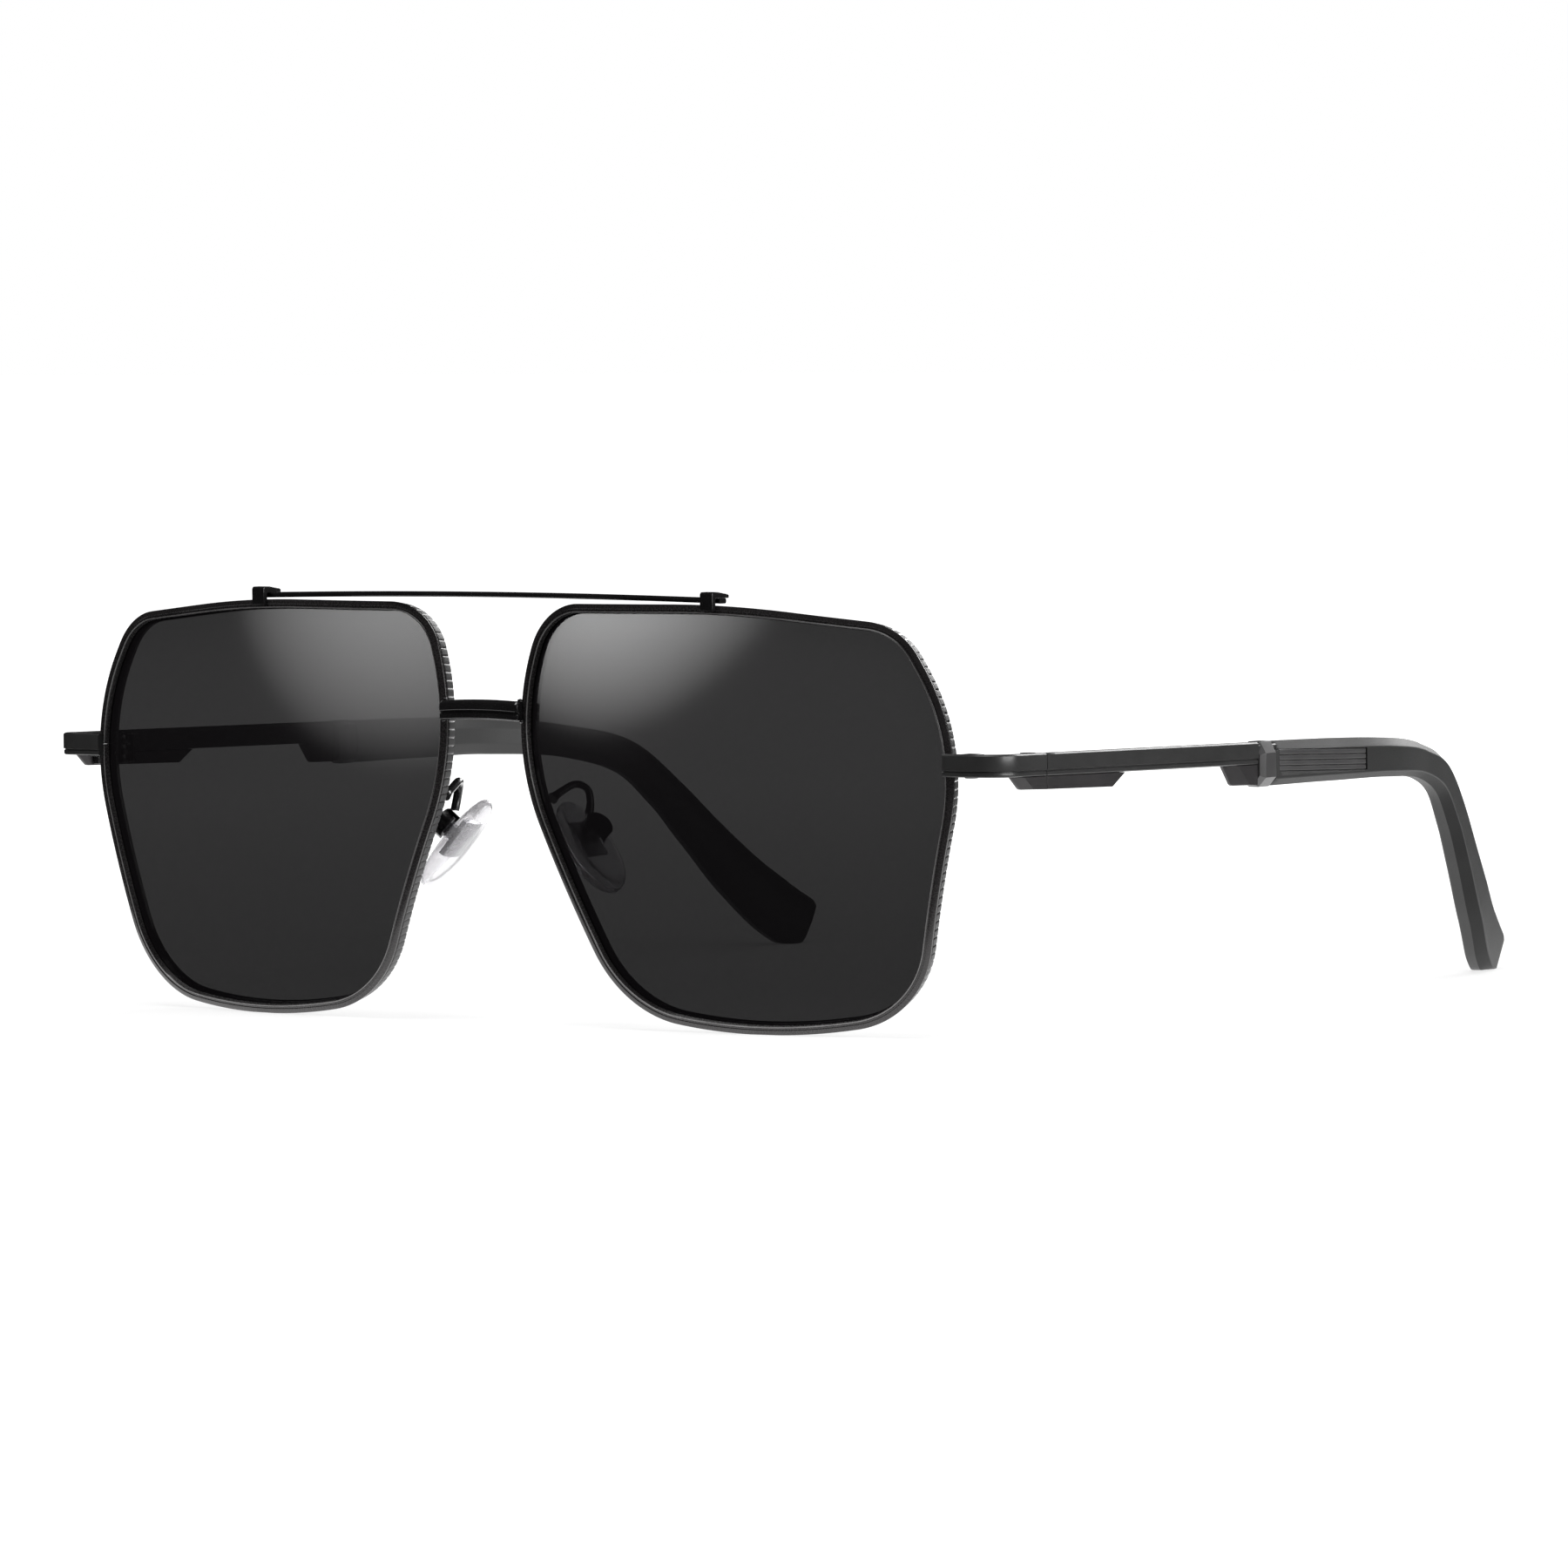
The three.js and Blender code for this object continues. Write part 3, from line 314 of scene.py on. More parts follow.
def rounded(corners, steps):
    """A polygon of (a, b, radius) corners with each corner turned into an arc."""
    out = []
    points = [Vector((a, b)) for a, b, _ in corners]
    for i, (here, (_, _, radius)) in enumerate(zip(points, corners)):
        if radius <= 0:
            out.append((here.x, here.y))
            continue
        back = points[i - 1] - here
        ahead = points[(i + 1) % len(points)] - here
        reach = min(back.length, ahead.length) * CORNER_SHARE
        half = back.angle(ahead) / 2
        cut = min(radius / math.tan(half), reach)
        size = cut * math.tan(half)
        middle = (back.normalized() + ahead.normalized()).normalized()
        centre = here + middle * (size / math.sin(half))
        start = here + back.normalized() * cut - centre
        end = here + ahead.normalized() * cut - centre
        turn = math.atan2(start.x * end.y - start.y * end.x, start.dot(end))
        for step in range(steps + 1):
            a = turn * step / steps
            across_start = start.x * math.cos(a) - start.y * math.sin(a)
            along_start = start.x * math.sin(a) + start.y * math.cos(a)
            p = centre + Vector((across_start, along_start))
            out.append((p.x, p.y))
    return out


def blend(a, b, t):
    return a + (b - a) * t


def smoothstep(t):
    t = max(0.0, min(1.0, t))
    return t * t * (3 - 2 * t)


def spline(points, t):
    """A centripetal Catmull-Rom curve through points."""
    last = len(points) - 1
    i = min(int(t * last), last - 1)
    w = t * last - i
    p1, p2 = points[i], points[i + 1]
    p0 = points[i - 1] if i > 0 else points[0] * 2 - points[1]
    p3 = points[i + 2] if i + 2 <= last else points[last] * 2 - points[last - 1]
    d0, d1, d2 = (math.sqrt((b - a).length) for a, b in ((p0, p1), (p1, p2), (p2, p3)))
    t1 = ((p1 - p0) / d0 - (p2 - p0) / (d0 + d1) + (p2 - p1) / d1) * d1
    t2 = ((p2 - p1) / d1 - (p3 - p1) / (d1 + d2) + (p3 - p2) / d2) * d1
    return p1 + t1 * w + (p2 * 3 - p1 * 3 - t1 * 2 - t2) * w ** 2 + (p1 * 2 - p2 * 2 + t1 + t2) * w ** 3


SPLINE_SAMPLES = 600


def even(points, count):
    """Points evenly spaced along the spline, each with its curve parameter and tangent."""
    samples = SPLINE_SAMPLES
    fine = [spline(points, i / samples) for i in range(samples + 1)]
    reach = [0.0]
    for a, b in zip(fine, fine[1:]):
        reach.append(reach[-1] + (b - a).length)
    out = []
    k = 0
    for n in range(count + 1):
        want = reach[-1] * n / count
        while k < samples - 1 and reach[k + 1] < want:
            k += 1
        share = (want - reach[k]) / (reach[k + 1] - reach[k])
        t = (k + share) / samples
        step = 1 / samples
        tangent = spline(points, min(1, t + step)) - spline(points, max(0, t - step))
        out.append((spline(points, t), t, tangent.normalized()))
    return out, reach[-1]


def across(tangent):
    """Level sideways and upward directions across a tangent."""
    side = tangent.cross(Vector((0, 0, 1))).normalized()
    return side, side.cross(tangent).normalized()


# ---- The front's surface and the rims' outline ------------------------------------------------

LENS_CENTRE_X = 36.0
LENS_CENTRE_Z = 23.6
FRONT_RADIUS = 120.0
WRAP_SLOPE = 0.092
FRONT_TILT = 0.098
LOCK_MID_Z = 33.6
RIM_CORNERS = (
    (68.4, 36.2, 26), (60.3, 2.6, 13), (39.0, -0.6, 81), (18.8, 2.5, 15),
    (3.7, 35.6, 30), (8.9, 52.4, 7.7), (37.3, 52.6, 150), (60.0, 50.2, 8.5),
)


def front_y(x, z):
    dx, dz = x - LENS_CENTRE_X, z - LENS_CENTRE_Z
    return (dx * dx + dz * dz) / (2 * FRONT_RADIUS) + WRAP_SLOPE * dx - FRONT_TILT * dz


def behind_front(x, z, depth):
    """A point a given depth behind the front surface, square to it."""
    slope_x = (x - LENS_CENTRE_X) / FRONT_RADIUS + WRAP_SLOPE
    slope_z = (z - LENS_CENTRE_Z) / FRONT_RADIUS - FRONT_TILT
    back = Vector((-slope_x, 1, -slope_z)).normalized()
    return Vector((x, front_y(x, z), z)) + back * depth


def rim_path():
    """The rim's outer edge as (length, point at share, outward at share) stretches, clockwise."""
    arcs = []
    corners = [Vector((x, z)) for x, z, _ in RIM_CORNERS]
    for i, (here, (_, _, r)) in enumerate(zip(corners, RIM_CORNERS)):
        back = (corners[i - 1] - here).normalized()
        ahead = (corners[(i + 1) % len(corners)] - here).normalized()
        half = back.angle(ahead) / 2
        bisector = (back + ahead).normalized()
        centre = here + bisector * (r / math.sin(half))
        middle = math.atan2(-bisector.y, -bisector.x)
        arcs.append((centre, r, middle, math.pi / 2 - half))
    stretches = []

    def arc(centre, r, start, end):
        def at(share):
            a = blend(start, end, share)
            out = Vector((math.cos(a), math.sin(a)))
            return centre + out * r, out

        stretches.append((r * abs(end - start), at))
        return at(1)[0]

    def line(a, b):
        out = Vector((-(b - a).y, (b - a).x)).normalized()
        stretches.append(((b - a).length, lambda share: (a.lerp(b, share), out)))

    centre, r, middle, sweep = arcs[0]
    saw_cut = math.asin((LOCK_MID_Z - centre.y) / r)
    here = arc(centre, r, saw_cut, middle - sweep)
    for c, rr, m, s in arcs[1:]:
        begin = c + Vector((math.cos(m + s), math.sin(m + s))) * rr
        line(here, begin)
        here = arc(c, rr, m + s, m - s)
    begin = centre + Vector((math.cos(middle + sweep), math.sin(middle + sweep))) * r
    line(here, begin)
    arc(centre, r, middle + sweep, saw_cut)
    return stretches


RIM_PATH = rim_path()
RIM_LENGTH = sum(length for length, _ in RIM_PATH)


def on_rim(distance):
    """The outline point and outward direction at a distance from the saw cut."""
    distance = min(max(distance, 0.0), RIM_LENGTH - 1e-9)
    for length, at in RIM_PATH:
        if distance <= length:
            return at(distance / length)
        distance -= length
    return RIM_PATH[-1][1](1.0)


# ---- Rims -------------------------------------------------------------------------------------

KNURL_PITCH = 1.03
KNURL_DEPTH = 0.08
KNURL_NARROWNESS = 6
KNURL_SAMPLES = 10
SAW_CUT = 0.2

# Numbers of the rim's materials: the face and inside, the knurled band and the inner bead, whose light
# grey is a painted highlight along the inner edge.
PLATED, KNURLED, PAINTED_HIGHLIGHT = 0, 1, 2
# The section runs round in stretches, as inset from the outer edge and depth behind the front.
RIM_FACE = ((0.0, 0.30), (0.0, 0.13), (0.04, 0.04), (0.13, 0.0), (0.60, 0.0), (0.64, 0.03), (0.66, 0.10),
            (0.82, 0.10), (0.88, 0.03))
RIM_BEAD = ((0.93, 0.0), (0.98, 0.0), (1.03, 0.03), (1.05, 0.07))
RIM_INSIDE = ((1.05, 0.75), (0.60, 0.75), (0.60, 1.75), (1.05, 1.75), (1.05, 2.12), (0.99, 2.2),
              (0.12, 2.2))
RIM_BAND = ((0.02, 2.1), (0.0, 1.9), (0.0, 1.0), (0.02, 0.72), (0.12, 0.62))
RIM_STEP = ((0.25, 0.58), (0.25, 0.46), (0.08, 0.42))
RIM_STRETCHES = ((RIM_FACE, PLATED), (RIM_BEAD, PAINTED_HIGHLIGHT), (RIM_INSIDE, PLATED), (RIM_BAND, KNURLED),
                 (RIM_STEP, PLATED))


def rim(side, sign):
    section = [(inset, depth, finish) for stretch, finish in RIM_STRETCHES for inset, depth in stretch]
    knurls = round(RIM_LENGTH / KNURL_PITCH)
    count = knurls * KNURL_SAMPLES
    half_cut = SAW_CUT / 2
    rings = []
    for n in range(count + 1):
        distance = blend(half_cut, RIM_LENGTH - half_cut, n / count)
        point, outward = on_rim(distance)
        phase = distance / RIM_LENGTH * knurls
        cut = max(0.0, math.cos(2 * math.pi * phase)) ** KNURL_NARROWNESS * KNURL_DEPTH
        ring = []
        for inset, depth, finish in section:
            if finish == KNURLED:
                inset += cut
            ring.append(behind_front(point.x - outward.x * inset, point.y - outward.y * inset, depth))
        rings.append([(p.x, p.y, max(p.z, REST_Z)) for p in ring])
    verts, faces = loft(rings)
    size = len(section)
    caps = len(faces) - 2

    def finish_of(number):
        here, ahead = section[number % size][2], section[(number + 1) % size][2]
        in_groove = number // size % KNURL_SAMPLES in (0, KNURL_SAMPLES - 1)
        return PLATED if number >= caps or here != ahead or (here == KNURLED and in_groove) else here

    build(f"rim_{side}_knurled", verts, faces, "front", (RIM_METAL, BAND_METAL, BEAD_PAINTED_HIGHLIGHT),
          [f"rim_{side}"], sign, 28.0, shade=finish_of)


# ---- Lenses -----------------------------------------------------------------------------------

LENS_THICKNESS = 0.8
LENS_FRONT = 0.85
LENS_INSET = 0.7
# Each skin fans out from a point this far above the lens centre and ends this share short of the edge.
LENS_FAN_RISE = 2
LENS_MARGIN = 0.004
LENS_AROUND = 220
LENS_RINGS = 14


def lens(side, sign):
    centre = Vector((LENS_CENTRE_X, LENS_CENTRE_Z + LENS_FAN_RISE))
    edge = []
    for n in range(LENS_AROUND):
        point, outward = on_rim(RIM_LENGTH * n / LENS_AROUND)
        edge.append(point - outward * LENS_INSET)
    verts, faces = [], []

    def skin(depth, flip):
        base = len(verts)
        verts.append(tuple(behind_front(centre.x, centre.y, depth)))
        for ring in range(1, LENS_RINGS + 1):
            for p in edge:
                q = centre.lerp(p, ring / LENS_RINGS * (1 - LENS_MARGIN))
                verts.append(tuple(behind_front(q.x, q.y, depth)))
        for i in range(LENS_AROUND):
            j = (i + 1) % LENS_AROUND
            tri = (base, base + 1 + i, base + 1 + j)
            faces.append(tri[::-1] if flip else tri)
            for ring in range(LENS_RINGS - 1):
                a = base + 1 + ring * LENS_AROUND
                b = a + LENS_AROUND
                quad = (a + i, b + i, b + j, a + j)
                faces.append(quad[::-1] if flip else quad)
        return base + 1 + (LENS_RINGS - 1) * LENS_AROUND

    front = skin(LENS_FRONT, False)
    back = skin(LENS_FRONT + LENS_THICKNESS, True)
    bead = len(verts)
    for p in edge:
        verts.append(tuple(behind_front(p.x, p.y, LENS_FRONT + LENS_THICKNESS / 2)))
    for i in range(LENS_AROUND):
        j = (i + 1) % LENS_AROUND
        faces.append((front + i, bead + i, bead + j, front + j))
        faces.append((bead + i, back + i, back + j, bead + j))
    build(f"lens_{side}_ground", verts, faces, "front", LENS, [f"lens_{side}"], sign, 30.0)


# ---- Bridge, brow bar and posts ---------------------------------------------------------------

BRIDGE_TOP_Z = 40.35
BRIDGE_FRONT_Y = -0.8
BRIDGE_BACK_Y = 0.4
BRIDGE_HALF_SPAN = 6.1
BRIDGE_RISE = 0.2
BRIDGE_STEPS = 40
BRIDGE_MIDDLE_DROP = 1.2
# The ends' edges are rounded by a tuck over the last stretch, less of it up and down.
BRIDGE_TUCK = 0.3
BRIDGE_TUCK_LENGTH = 0.4
BRIDGE_TUCK_UPRIGHT = 0.6
# How far the brazed ends reach back into the rims, and the shares of the half span where that sets in.
BRIDGE_SEAT = 0.3
BRIDGE_SEAT_FROM = 0.8
BRIDGE_SEAT_OVER = 0.1
BRIDGE_SECTION = (
    (0.4, 40.35, 0.1), (-0.42, 40.35, 0.22), (-0.8, 40.0, 0.2), (-0.8, 39.15, 0.12), (-0.48, 38.95, 0.08),
    (-0.48, 38.82, 0.05), (-0.72, 38.66, 0.1), (-0.72, 38.12, 0.14), (-0.5, 37.95, 0.1), (0.4, 37.95, 0.1),
)


def bridge():
    section = rounded(BRIDGE_SECTION, 3)
    middle_y = (BRIDGE_FRONT_Y + BRIDGE_BACK_Y) / 2
    middle_z = BRIDGE_TOP_Z - BRIDGE_MIDDLE_DROP
    rings = []
    for n in range(BRIDGE_STEPS + 1):
        t = -math.cos(math.pi * n / BRIDGE_STEPS)
        rise = BRIDGE_RISE * (1 - t * t)
        from_end = (1 - abs(t)) * BRIDGE_HALF_SPAN
        into = max(0.0, 1 - from_end / BRIDGE_TUCK_LENGTH)
        tuck = BRIDGE_TUCK * (1 - math.sqrt(max(0.0, 1 - into ** 2)))
        seat = BRIDGE_SEAT * smoothstep((abs(t) - BRIDGE_SEAT_FROM) / BRIDGE_SEAT_OVER)
        ring = []
        for y, z in section:
            dy, dz = y - middle_y, z - middle_z
            y_in = y + seat if dy > 0 else min(y + tuck, middle_y)
            z_in = middle_z + dz - math.copysign(min(abs(dz), tuck * BRIDGE_TUCK_UPRIGHT), dz)
            ring.append((t * BRIDGE_HALF_SPAN, y_in, z_in + rise))
        rings.append(ring)
    verts, faces = loft(rings)
    build("bridge_stepped_bar", verts, faces, "front", BLACK_METAL, ["bridge"], 1, 28.0)


# Where each weld bead is and its size: name, x, y, z and radius.
WELDS = (("upper", 5.85, 0.25, 40.5, 0.26), ("lower", 6.1, 0.25, 37.9, 0.24))
WELD_RINGS = 9
WELD_AROUND = 14
WELD_STRETCH = 1.3
WELD_FLATNESS = 0.8
WELD_LUMP = 0.12
WELD_LUMP_TURN = 5
WELD_BLUNTNESS = 0.02


def weld_bead(name, x, y, z, size, sign):
    """A small lumpy bead of solder where the bridge meets a rim."""
    rings = []
    for n in range(WELD_RINGS):
        t = -1 + 2 * n / (WELD_RINGS - 1)
        lump = 1 + WELD_LUMP * math.sin(WELD_LUMP_TURN * t)
        radius = math.sqrt(max(0.0, 1 - t * t)) * lump + WELD_BLUNTNESS
        rings.append([
            (x + t * size * WELD_STRETCH, y + math.cos(a) * radius * size,
             z + math.sin(a) * radius * size * WELD_FLATNESS)
            for a in (2 * math.pi * k / WELD_AROUND for k in range(WELD_AROUND))
        ])
    verts, faces = loft(rings)
    build(name, verts, faces, "front", BLACK_METAL, [], sign, 50.0)


BROW_TOP_Z = 53.28
BROW_FRONT_Y = 1.1
BROW_DEPTH = 1.4
BROW_HEIGHT = 0.65
BROW_RISE = 0.45
BROW_BOW = 1.0
BROW_EDGE_R = 0.26
BROW_STEPS = 72
POST_X = 34.9
POST_WIDTH = 1.9
POST_LEG = 0.75
POST_FOOT_Z = 51.8
POST_TOP_Z = 54.05
POST_TAIL_Y = 3.1
POST_TAIL_Z = 53.75
POST_CREST = 0.6
POST_OVERLAP = 0.03
# Stations across the post: share of its half width and how far the outline draws in.
POST_STATIONS = ((-1, 0.1), (-0.97, 0.04), (-0.9, 0.0), (0.9, 0.0), (0.97, 0.04), (1, 0.1))


def brow_bar():
    corners = ((0, 0), (0, -BROW_HEIGHT), (BROW_DEPTH, -BROW_HEIGHT), (BROW_DEPTH, 0))
    section = rounded([(b, d, BROW_EDGE_R) for b, d in corners], 4)
    half = POST_X + POST_WIDTH / 2
    rings = []
    for n in range(BROW_STEPS + 1):
        t = -1 + 2 * n / BROW_STEPS
        away = 1 - t * t
        y = BROW_FRONT_Y - BROW_BOW * away
        z = BROW_TOP_Z + BROW_RISE * away
        rings.append([(t * half, y + b, z + d) for b, d in section])
    verts, faces = loft(rings)
    build("brow_bar_wire", verts, faces, "front", BLACK_METAL, ["brow_bar"], 1, 40.0)


def brow_post(side, sign):
    back = POST_FRONT_Y + POST_LEG
    cap_bottom = BROW_TOP_Z - POST_OVERLAP
    outline = rounded(
        (
            (POST_FRONT_Y, POST_FOOT_Z, 0.05), (back, POST_FOOT_Z, 0.05), (back, cap_bottom, 0.04),
            (POST_TAIL_Y, cap_bottom, 0.08), (POST_TAIL_Y, POST_TAIL_Z, 0.25),
            (back + POST_CREST, POST_TOP_Z, 0.6), (POST_FRONT_Y, POST_TOP_Z, 0.32),
        ),
        4,
    )
    leg_y, cap_y = blend(POST_FRONT_Y, back, 0.5), (POST_FRONT_Y + POST_TAIL_Y) / 2
    rings = []
    for offset, shrink in POST_STATIONS:
        x = POST_X + offset * POST_WIDTH / 2
        ring = []
        for y, z in outline:
            middle_y = leg_y if z < cap_bottom else cap_y
            middle_z = (cap_bottom + POST_TOP_Z) / 2 if z > cap_bottom - 0.1 else z
            ring.append((x, y - math.copysign(min(abs(y - middle_y), shrink), y - middle_y),
                         z - math.copysign(min(abs(z - middle_z), shrink), z - middle_z)))
        rings.append(ring)
    verts, faces = loft(rings)
    build(f"brow_post_{side}_hook", verts, faces, "front", BLACK_METAL, [f"brow_post_{side}"],
          sign, 35.0)


# ---- End pieces and temple bars ---------------------------------------------------------------

BAR_OUTER_X = 73.9
BAR_TOP = 34.98
BAR_FALL = 0.0163
BAR_HEIGHT = 2.75
SEAM_Y = 15.4
SEAM_GAP = 0.05
BAR_END_Y = 60.65
END_START_X = 65.8
END_FRONT_Y = 4.9
END_THICKNESS = 0.95
BAR_THICKNESS = 1.3
BEND_R = 4.4
BEND_STEPS = 28
BAR_STEPS = 24
# The end piece starts with a small chamfer, and each side of the seam has a finer one.
END_CHAMFER_LENGTH = 0.12
END_CHAMFER = 0.06
SEAM_CHAMFER_LENGTH = 0.05
SEAM_CHAMFER = 0.04
# The bar steps down to a tang that runs through the collar into the tip.
TANG_SHARE = 0.8
TANG_END_Y = 64.7


def bar_top(y):
    return BAR_TOP - BAR_FALL * y


def bar_section(thickness):
    """Outward offset from the outer face and drop from the top, with the groove between two bands."""
    return rounded(
        (
            (-0.24, 0, 0.05), (0, -0.18, 0.06), (0, -1.97, 0.05), (-0.24, -2.06, 0.05),
            (-0.24, -2.14, 0.04), (-0.08, -2.22, 0.05), (-0.08, -2.62, 0.06), (-0.2, -2.75, 0.05),
            (-thickness, -2.75, 0.06), (-thickness, 0, 0.03),
        ),
        2,
    )


def bar_rings(route):
    return [
        [(x + ox * a, y + oy * a, bar_top(y) + d) for a, d in bar_section(thickness)]
        for x, y, ox, oy, thickness in route
    ]


def end_piece(side, sign):
    bend_x, bend_y = BAR_OUTER_X - BEND_R, END_FRONT_Y + BEND_R
    route = [(END_START_X, END_FRONT_Y + END_CHAMFER, 0, -1, END_THICKNESS),
             (END_START_X + END_CHAMFER_LENGTH, END_FRONT_Y, 0, -1, END_THICKNESS)]
    for n in range(BEND_STEPS + 1):
        turn = math.pi / 2 * n / BEND_STEPS
        ox, oy = math.sin(turn), -math.cos(turn)
        route.append((bend_x + BEND_R * ox, bend_y + BEND_R * oy, ox, oy,
                      blend(END_THICKNESS, BAR_THICKNESS, n / BEND_STEPS)))
    end = SEAM_Y - SEAM_GAP
    route.append((BAR_OUTER_X, end - SEAM_CHAMFER_LENGTH, 1, 0, BAR_THICKNESS))
    route.append((BAR_OUTER_X - SEAM_CHAMFER, end, 1, 0, BAR_THICKNESS - 2 * SEAM_CHAMFER))
    verts, faces = loft(bar_rings(route))
    build(f"end_piece_{side}_bent", verts, faces, "front", BAR_METAL, [f"end_piece_{side}"],
          sign, 28.0)


def temple_bar(side, sign):
    start, end = SEAM_Y + SEAM_GAP, BAR_END_Y
    route = [(BAR_OUTER_X - SEAM_CHAMFER, start, 1, 0, BAR_THICKNESS - 2 * SEAM_CHAMFER)]
    for n in range(BAR_STEPS + 1):
        y = blend(start + SEAM_CHAMFER_LENGTH, end, n / BAR_STEPS)
        route.append((BAR_OUTER_X, y, 1, 0, BAR_THICKNESS))
    rings = bar_rings(route)
    last = rings[-1]
    middle_x, middle_z = (sum(p[axis] for p in last) / len(last) for axis in (0, 2))
    for y in (end, TANG_END_Y):
        rings.append([
            (blend(middle_x, x, TANG_SHARE), y, blend(middle_z, z, TANG_SHARE)) for x, _, z in last
        ])
    verts, faces = loft(rings)
    build(f"temple_bar_{side}_stepped", verts, faces, f"temple_{side}", BAR_METAL,
          [f"temple_bar_{side}"], sign, 28.0)


# ---- Collar, tip and inlay --------------------------------------------------------------------

COLLAR_FRONT_Y = 60.75
COLLAR_LENGTH = 3.35
COLLAR_OUTLINE = (
    (71.2, 28.9), (71.9, 28.4), (73.3, 28.4), (74.45, 29.6), (74.45, 32.6), (73.6, 34.05), (71.9, 34.05),
    (71.2, 33.5),
)
COLLAR_CENTRE = (72.85, 31.2)
COLLAR_HALF = (1.7, 2.85)
# Stations along the collar: share of its length and how far the outline draws in, in millimetres.
COLLAR_STATIONS = ((0.0, 0.5), (0.2, 0.0), (0.88, 0.0), (1.0, 0.3))
COLLAR_BEVEL = (0.05, 12.0, 2)


def collar(side, sign):
    cx, cz = COLLAR_CENTRE
    rings = []
    for share, draw in COLLAR_STATIONS:
        y = COLLAR_FRONT_Y + COLLAR_LENGTH * share
        shrink_x, shrink_z = 1 - draw / COLLAR_HALF[0], 1 - draw / COLLAR_HALF[1]
        rings.append([(cx + (x - cx) * shrink_x, y, cz + (z - cz) * shrink_z) for x, z in COLLAR_OUTLINE])
    verts, faces = loft(rings)
    build(f"ferrule_collar_{side}_faceted", verts, faces, f"temple_{side}", COLLAR_METAL,
          [f"ferrule_collar_{side}"], sign, 30.0, COLLAR_BEVEL)


# Tip centreline stations: y, z, x, full height and full thickness.
TIP_STATIONS = (
    (64.2, 31.2, 72.7, 5.5, 3.0), (78.0, 31.05, 72.7, 5.3, 3.0), (92.0, 30.7, 72.4, 4.9, 3.0),
    (104.9, 29.5, 68.6, 4.3, 2.9), (114.1, 27.0, 65.5, 4.7, 3.2), (120.2, 22.0, 63.5, 5.1, 3.5),
    (125.0, 16.9, 61.85, 5.9, 3.6), (131.0, 10.6, 59.7, 7.2, 3.6), (136.5, 5.7, 57.5, 8.2, 3.4),
    (142.0, 2.0, 55.6, 8.3, 3.0),
)
TIP_STEPS = 150
TIP_CORNER_STEPS = 3
TIP_SECTION = (
    (0.5, 0.29, 0.06), (0.5, -0.35, 0.06), (0.07, -0.5, 0.02), (-0.34, -0.5, 0.12), (-0.5, -0.2, 0.15),
    (-0.5, 0.2, 0.15), (-0.34, 0.5, 0.12), (0.16, 0.5, 0.03),
)
PADDLE_LEAN = 0.1
PADDLE_LEAN_FROM = 0.7
REST_SOFTNESS = 0.45
TIP_END_CORNER = 1.7
TIP_END_EDGE = 0.9
# The tip narrows over its first stretch, by this much in height and thickness for each millimetre.
TIP_NOSE = 0.3
TIP_NOSE_SLOPE = 0.5
# Sizes between stations change by a mix of an eased and an even step.
TIP_EASE = 0.4
TIP_SHARP = 24.0


def worn_flat(z):
    """Rounds the tip's underside into the flat that it stands on."""
    above = z - REST_Z
    return REST_Z + (above + math.hypot(above, REST_SOFTNESS)) / 2


def drawn_in(radius, left):
    """How far an end rounded by a radius has drawn in at a distance left from it."""
    if left >= radius:
        return 0.0
    return radius - math.sqrt(radius ** 2 - (radius - left) ** 2)


def temple_tip(side, sign):
    points = [Vector((x, y, z)) for y, z, x, _, _ in TIP_STATIONS]
    stations, length = even(points, TIP_STEPS)
    section = rounded(TIP_SECTION, TIP_CORNER_STEPS)
    rings = []
    shares = [n / TIP_STEPS for n in range(TIP_STEPS + 1)]
    for share, (point, t, tangent) in zip(shares, stations):
        k = min(int(t * (len(TIP_STATIONS) - 1)), len(TIP_STATIONS) - 2)
        part = t * (len(TIP_STATIONS) - 1) - k
        mix = smoothstep(part) * TIP_EASE + part * (1 - TIP_EASE)
        height = blend(TIP_STATIONS[k][3], TIP_STATIONS[k + 1][3], mix)
        thick = blend(TIP_STATIONS[k][4], TIP_STATIONS[k + 1][4], mix)
        left = (1 - share) * length
        full_height = height
        height -= 2 * drawn_in(TIP_END_CORNER, left)
        thick -= 2 * drawn_in(TIP_END_EDGE, left)
        nose = TIP_NOSE_SLOPE * max(0.0, TIP_NOSE - share * length)
        height -= nose
        thick -= nose
        lean = PADDLE_LEAN * smoothstep((share - PADDLE_LEAN_FROM) / (1 - PADDLE_LEAN_FROM)) * full_height
        out, up = across(tangent)
        ring = []
        for a, u in section:
            p = point + out * (a * thick + u * lean) + up * (u * height)
            ring.append((p.x, p.y, worn_flat(p.z)))
        rings.append(ring)
    verts, faces = loft(rings)
    count = len(section)
    # The chamfer and the top bevel take the darker plastic, painted shade on those two facets.
    shaded_facets = (2 * TIP_CORNER_STEPS + 1, count - 1)
    tip = build(f"temple_tip_{side}_moulded", verts, faces, f"temple_{side}",
                (TIP_PLASTIC, TIP_PAINTED_SHADE), [f"temple_tip_{side}"], sign, TIP_SHARP,
                shade=lambda face: int(face % count in shaded_facets and face < TIP_STEPS * count))
    carve(tip, pocket_tool(side, sign))


def carve(obj, tool):
    """Cuts a tool's shape out of a piece and keeps only the result."""
    cut = obj.modifiers.new("cut", "BOOLEAN")
    cut.operation = "DIFFERENCE"
    cut.solver = "EXACT"
    cut.object = tool
    bpy.context.view_layer.update()
    evaluated = obj.evaluated_get(bpy.context.evaluated_depsgraph_get())
    result = bpy.data.meshes.new_from_object(evaluated)
    obj.modifiers.remove(cut)
    obj.data = result
    smooth(result, TIP_SHARP)
    bpy.data.objects.remove(tool)


INLAY_FRONT_Y = 64.8
INLAY_BACK_Y = 84.4
INLAY_TOP = 32.95
INLAY_HEIGHT = 2.7
INLAY_FALL = 0.035
INLAY_INNER_X = 73.75
INLAY_OUTER_X = 74.2
INLAY_RIBS = 4
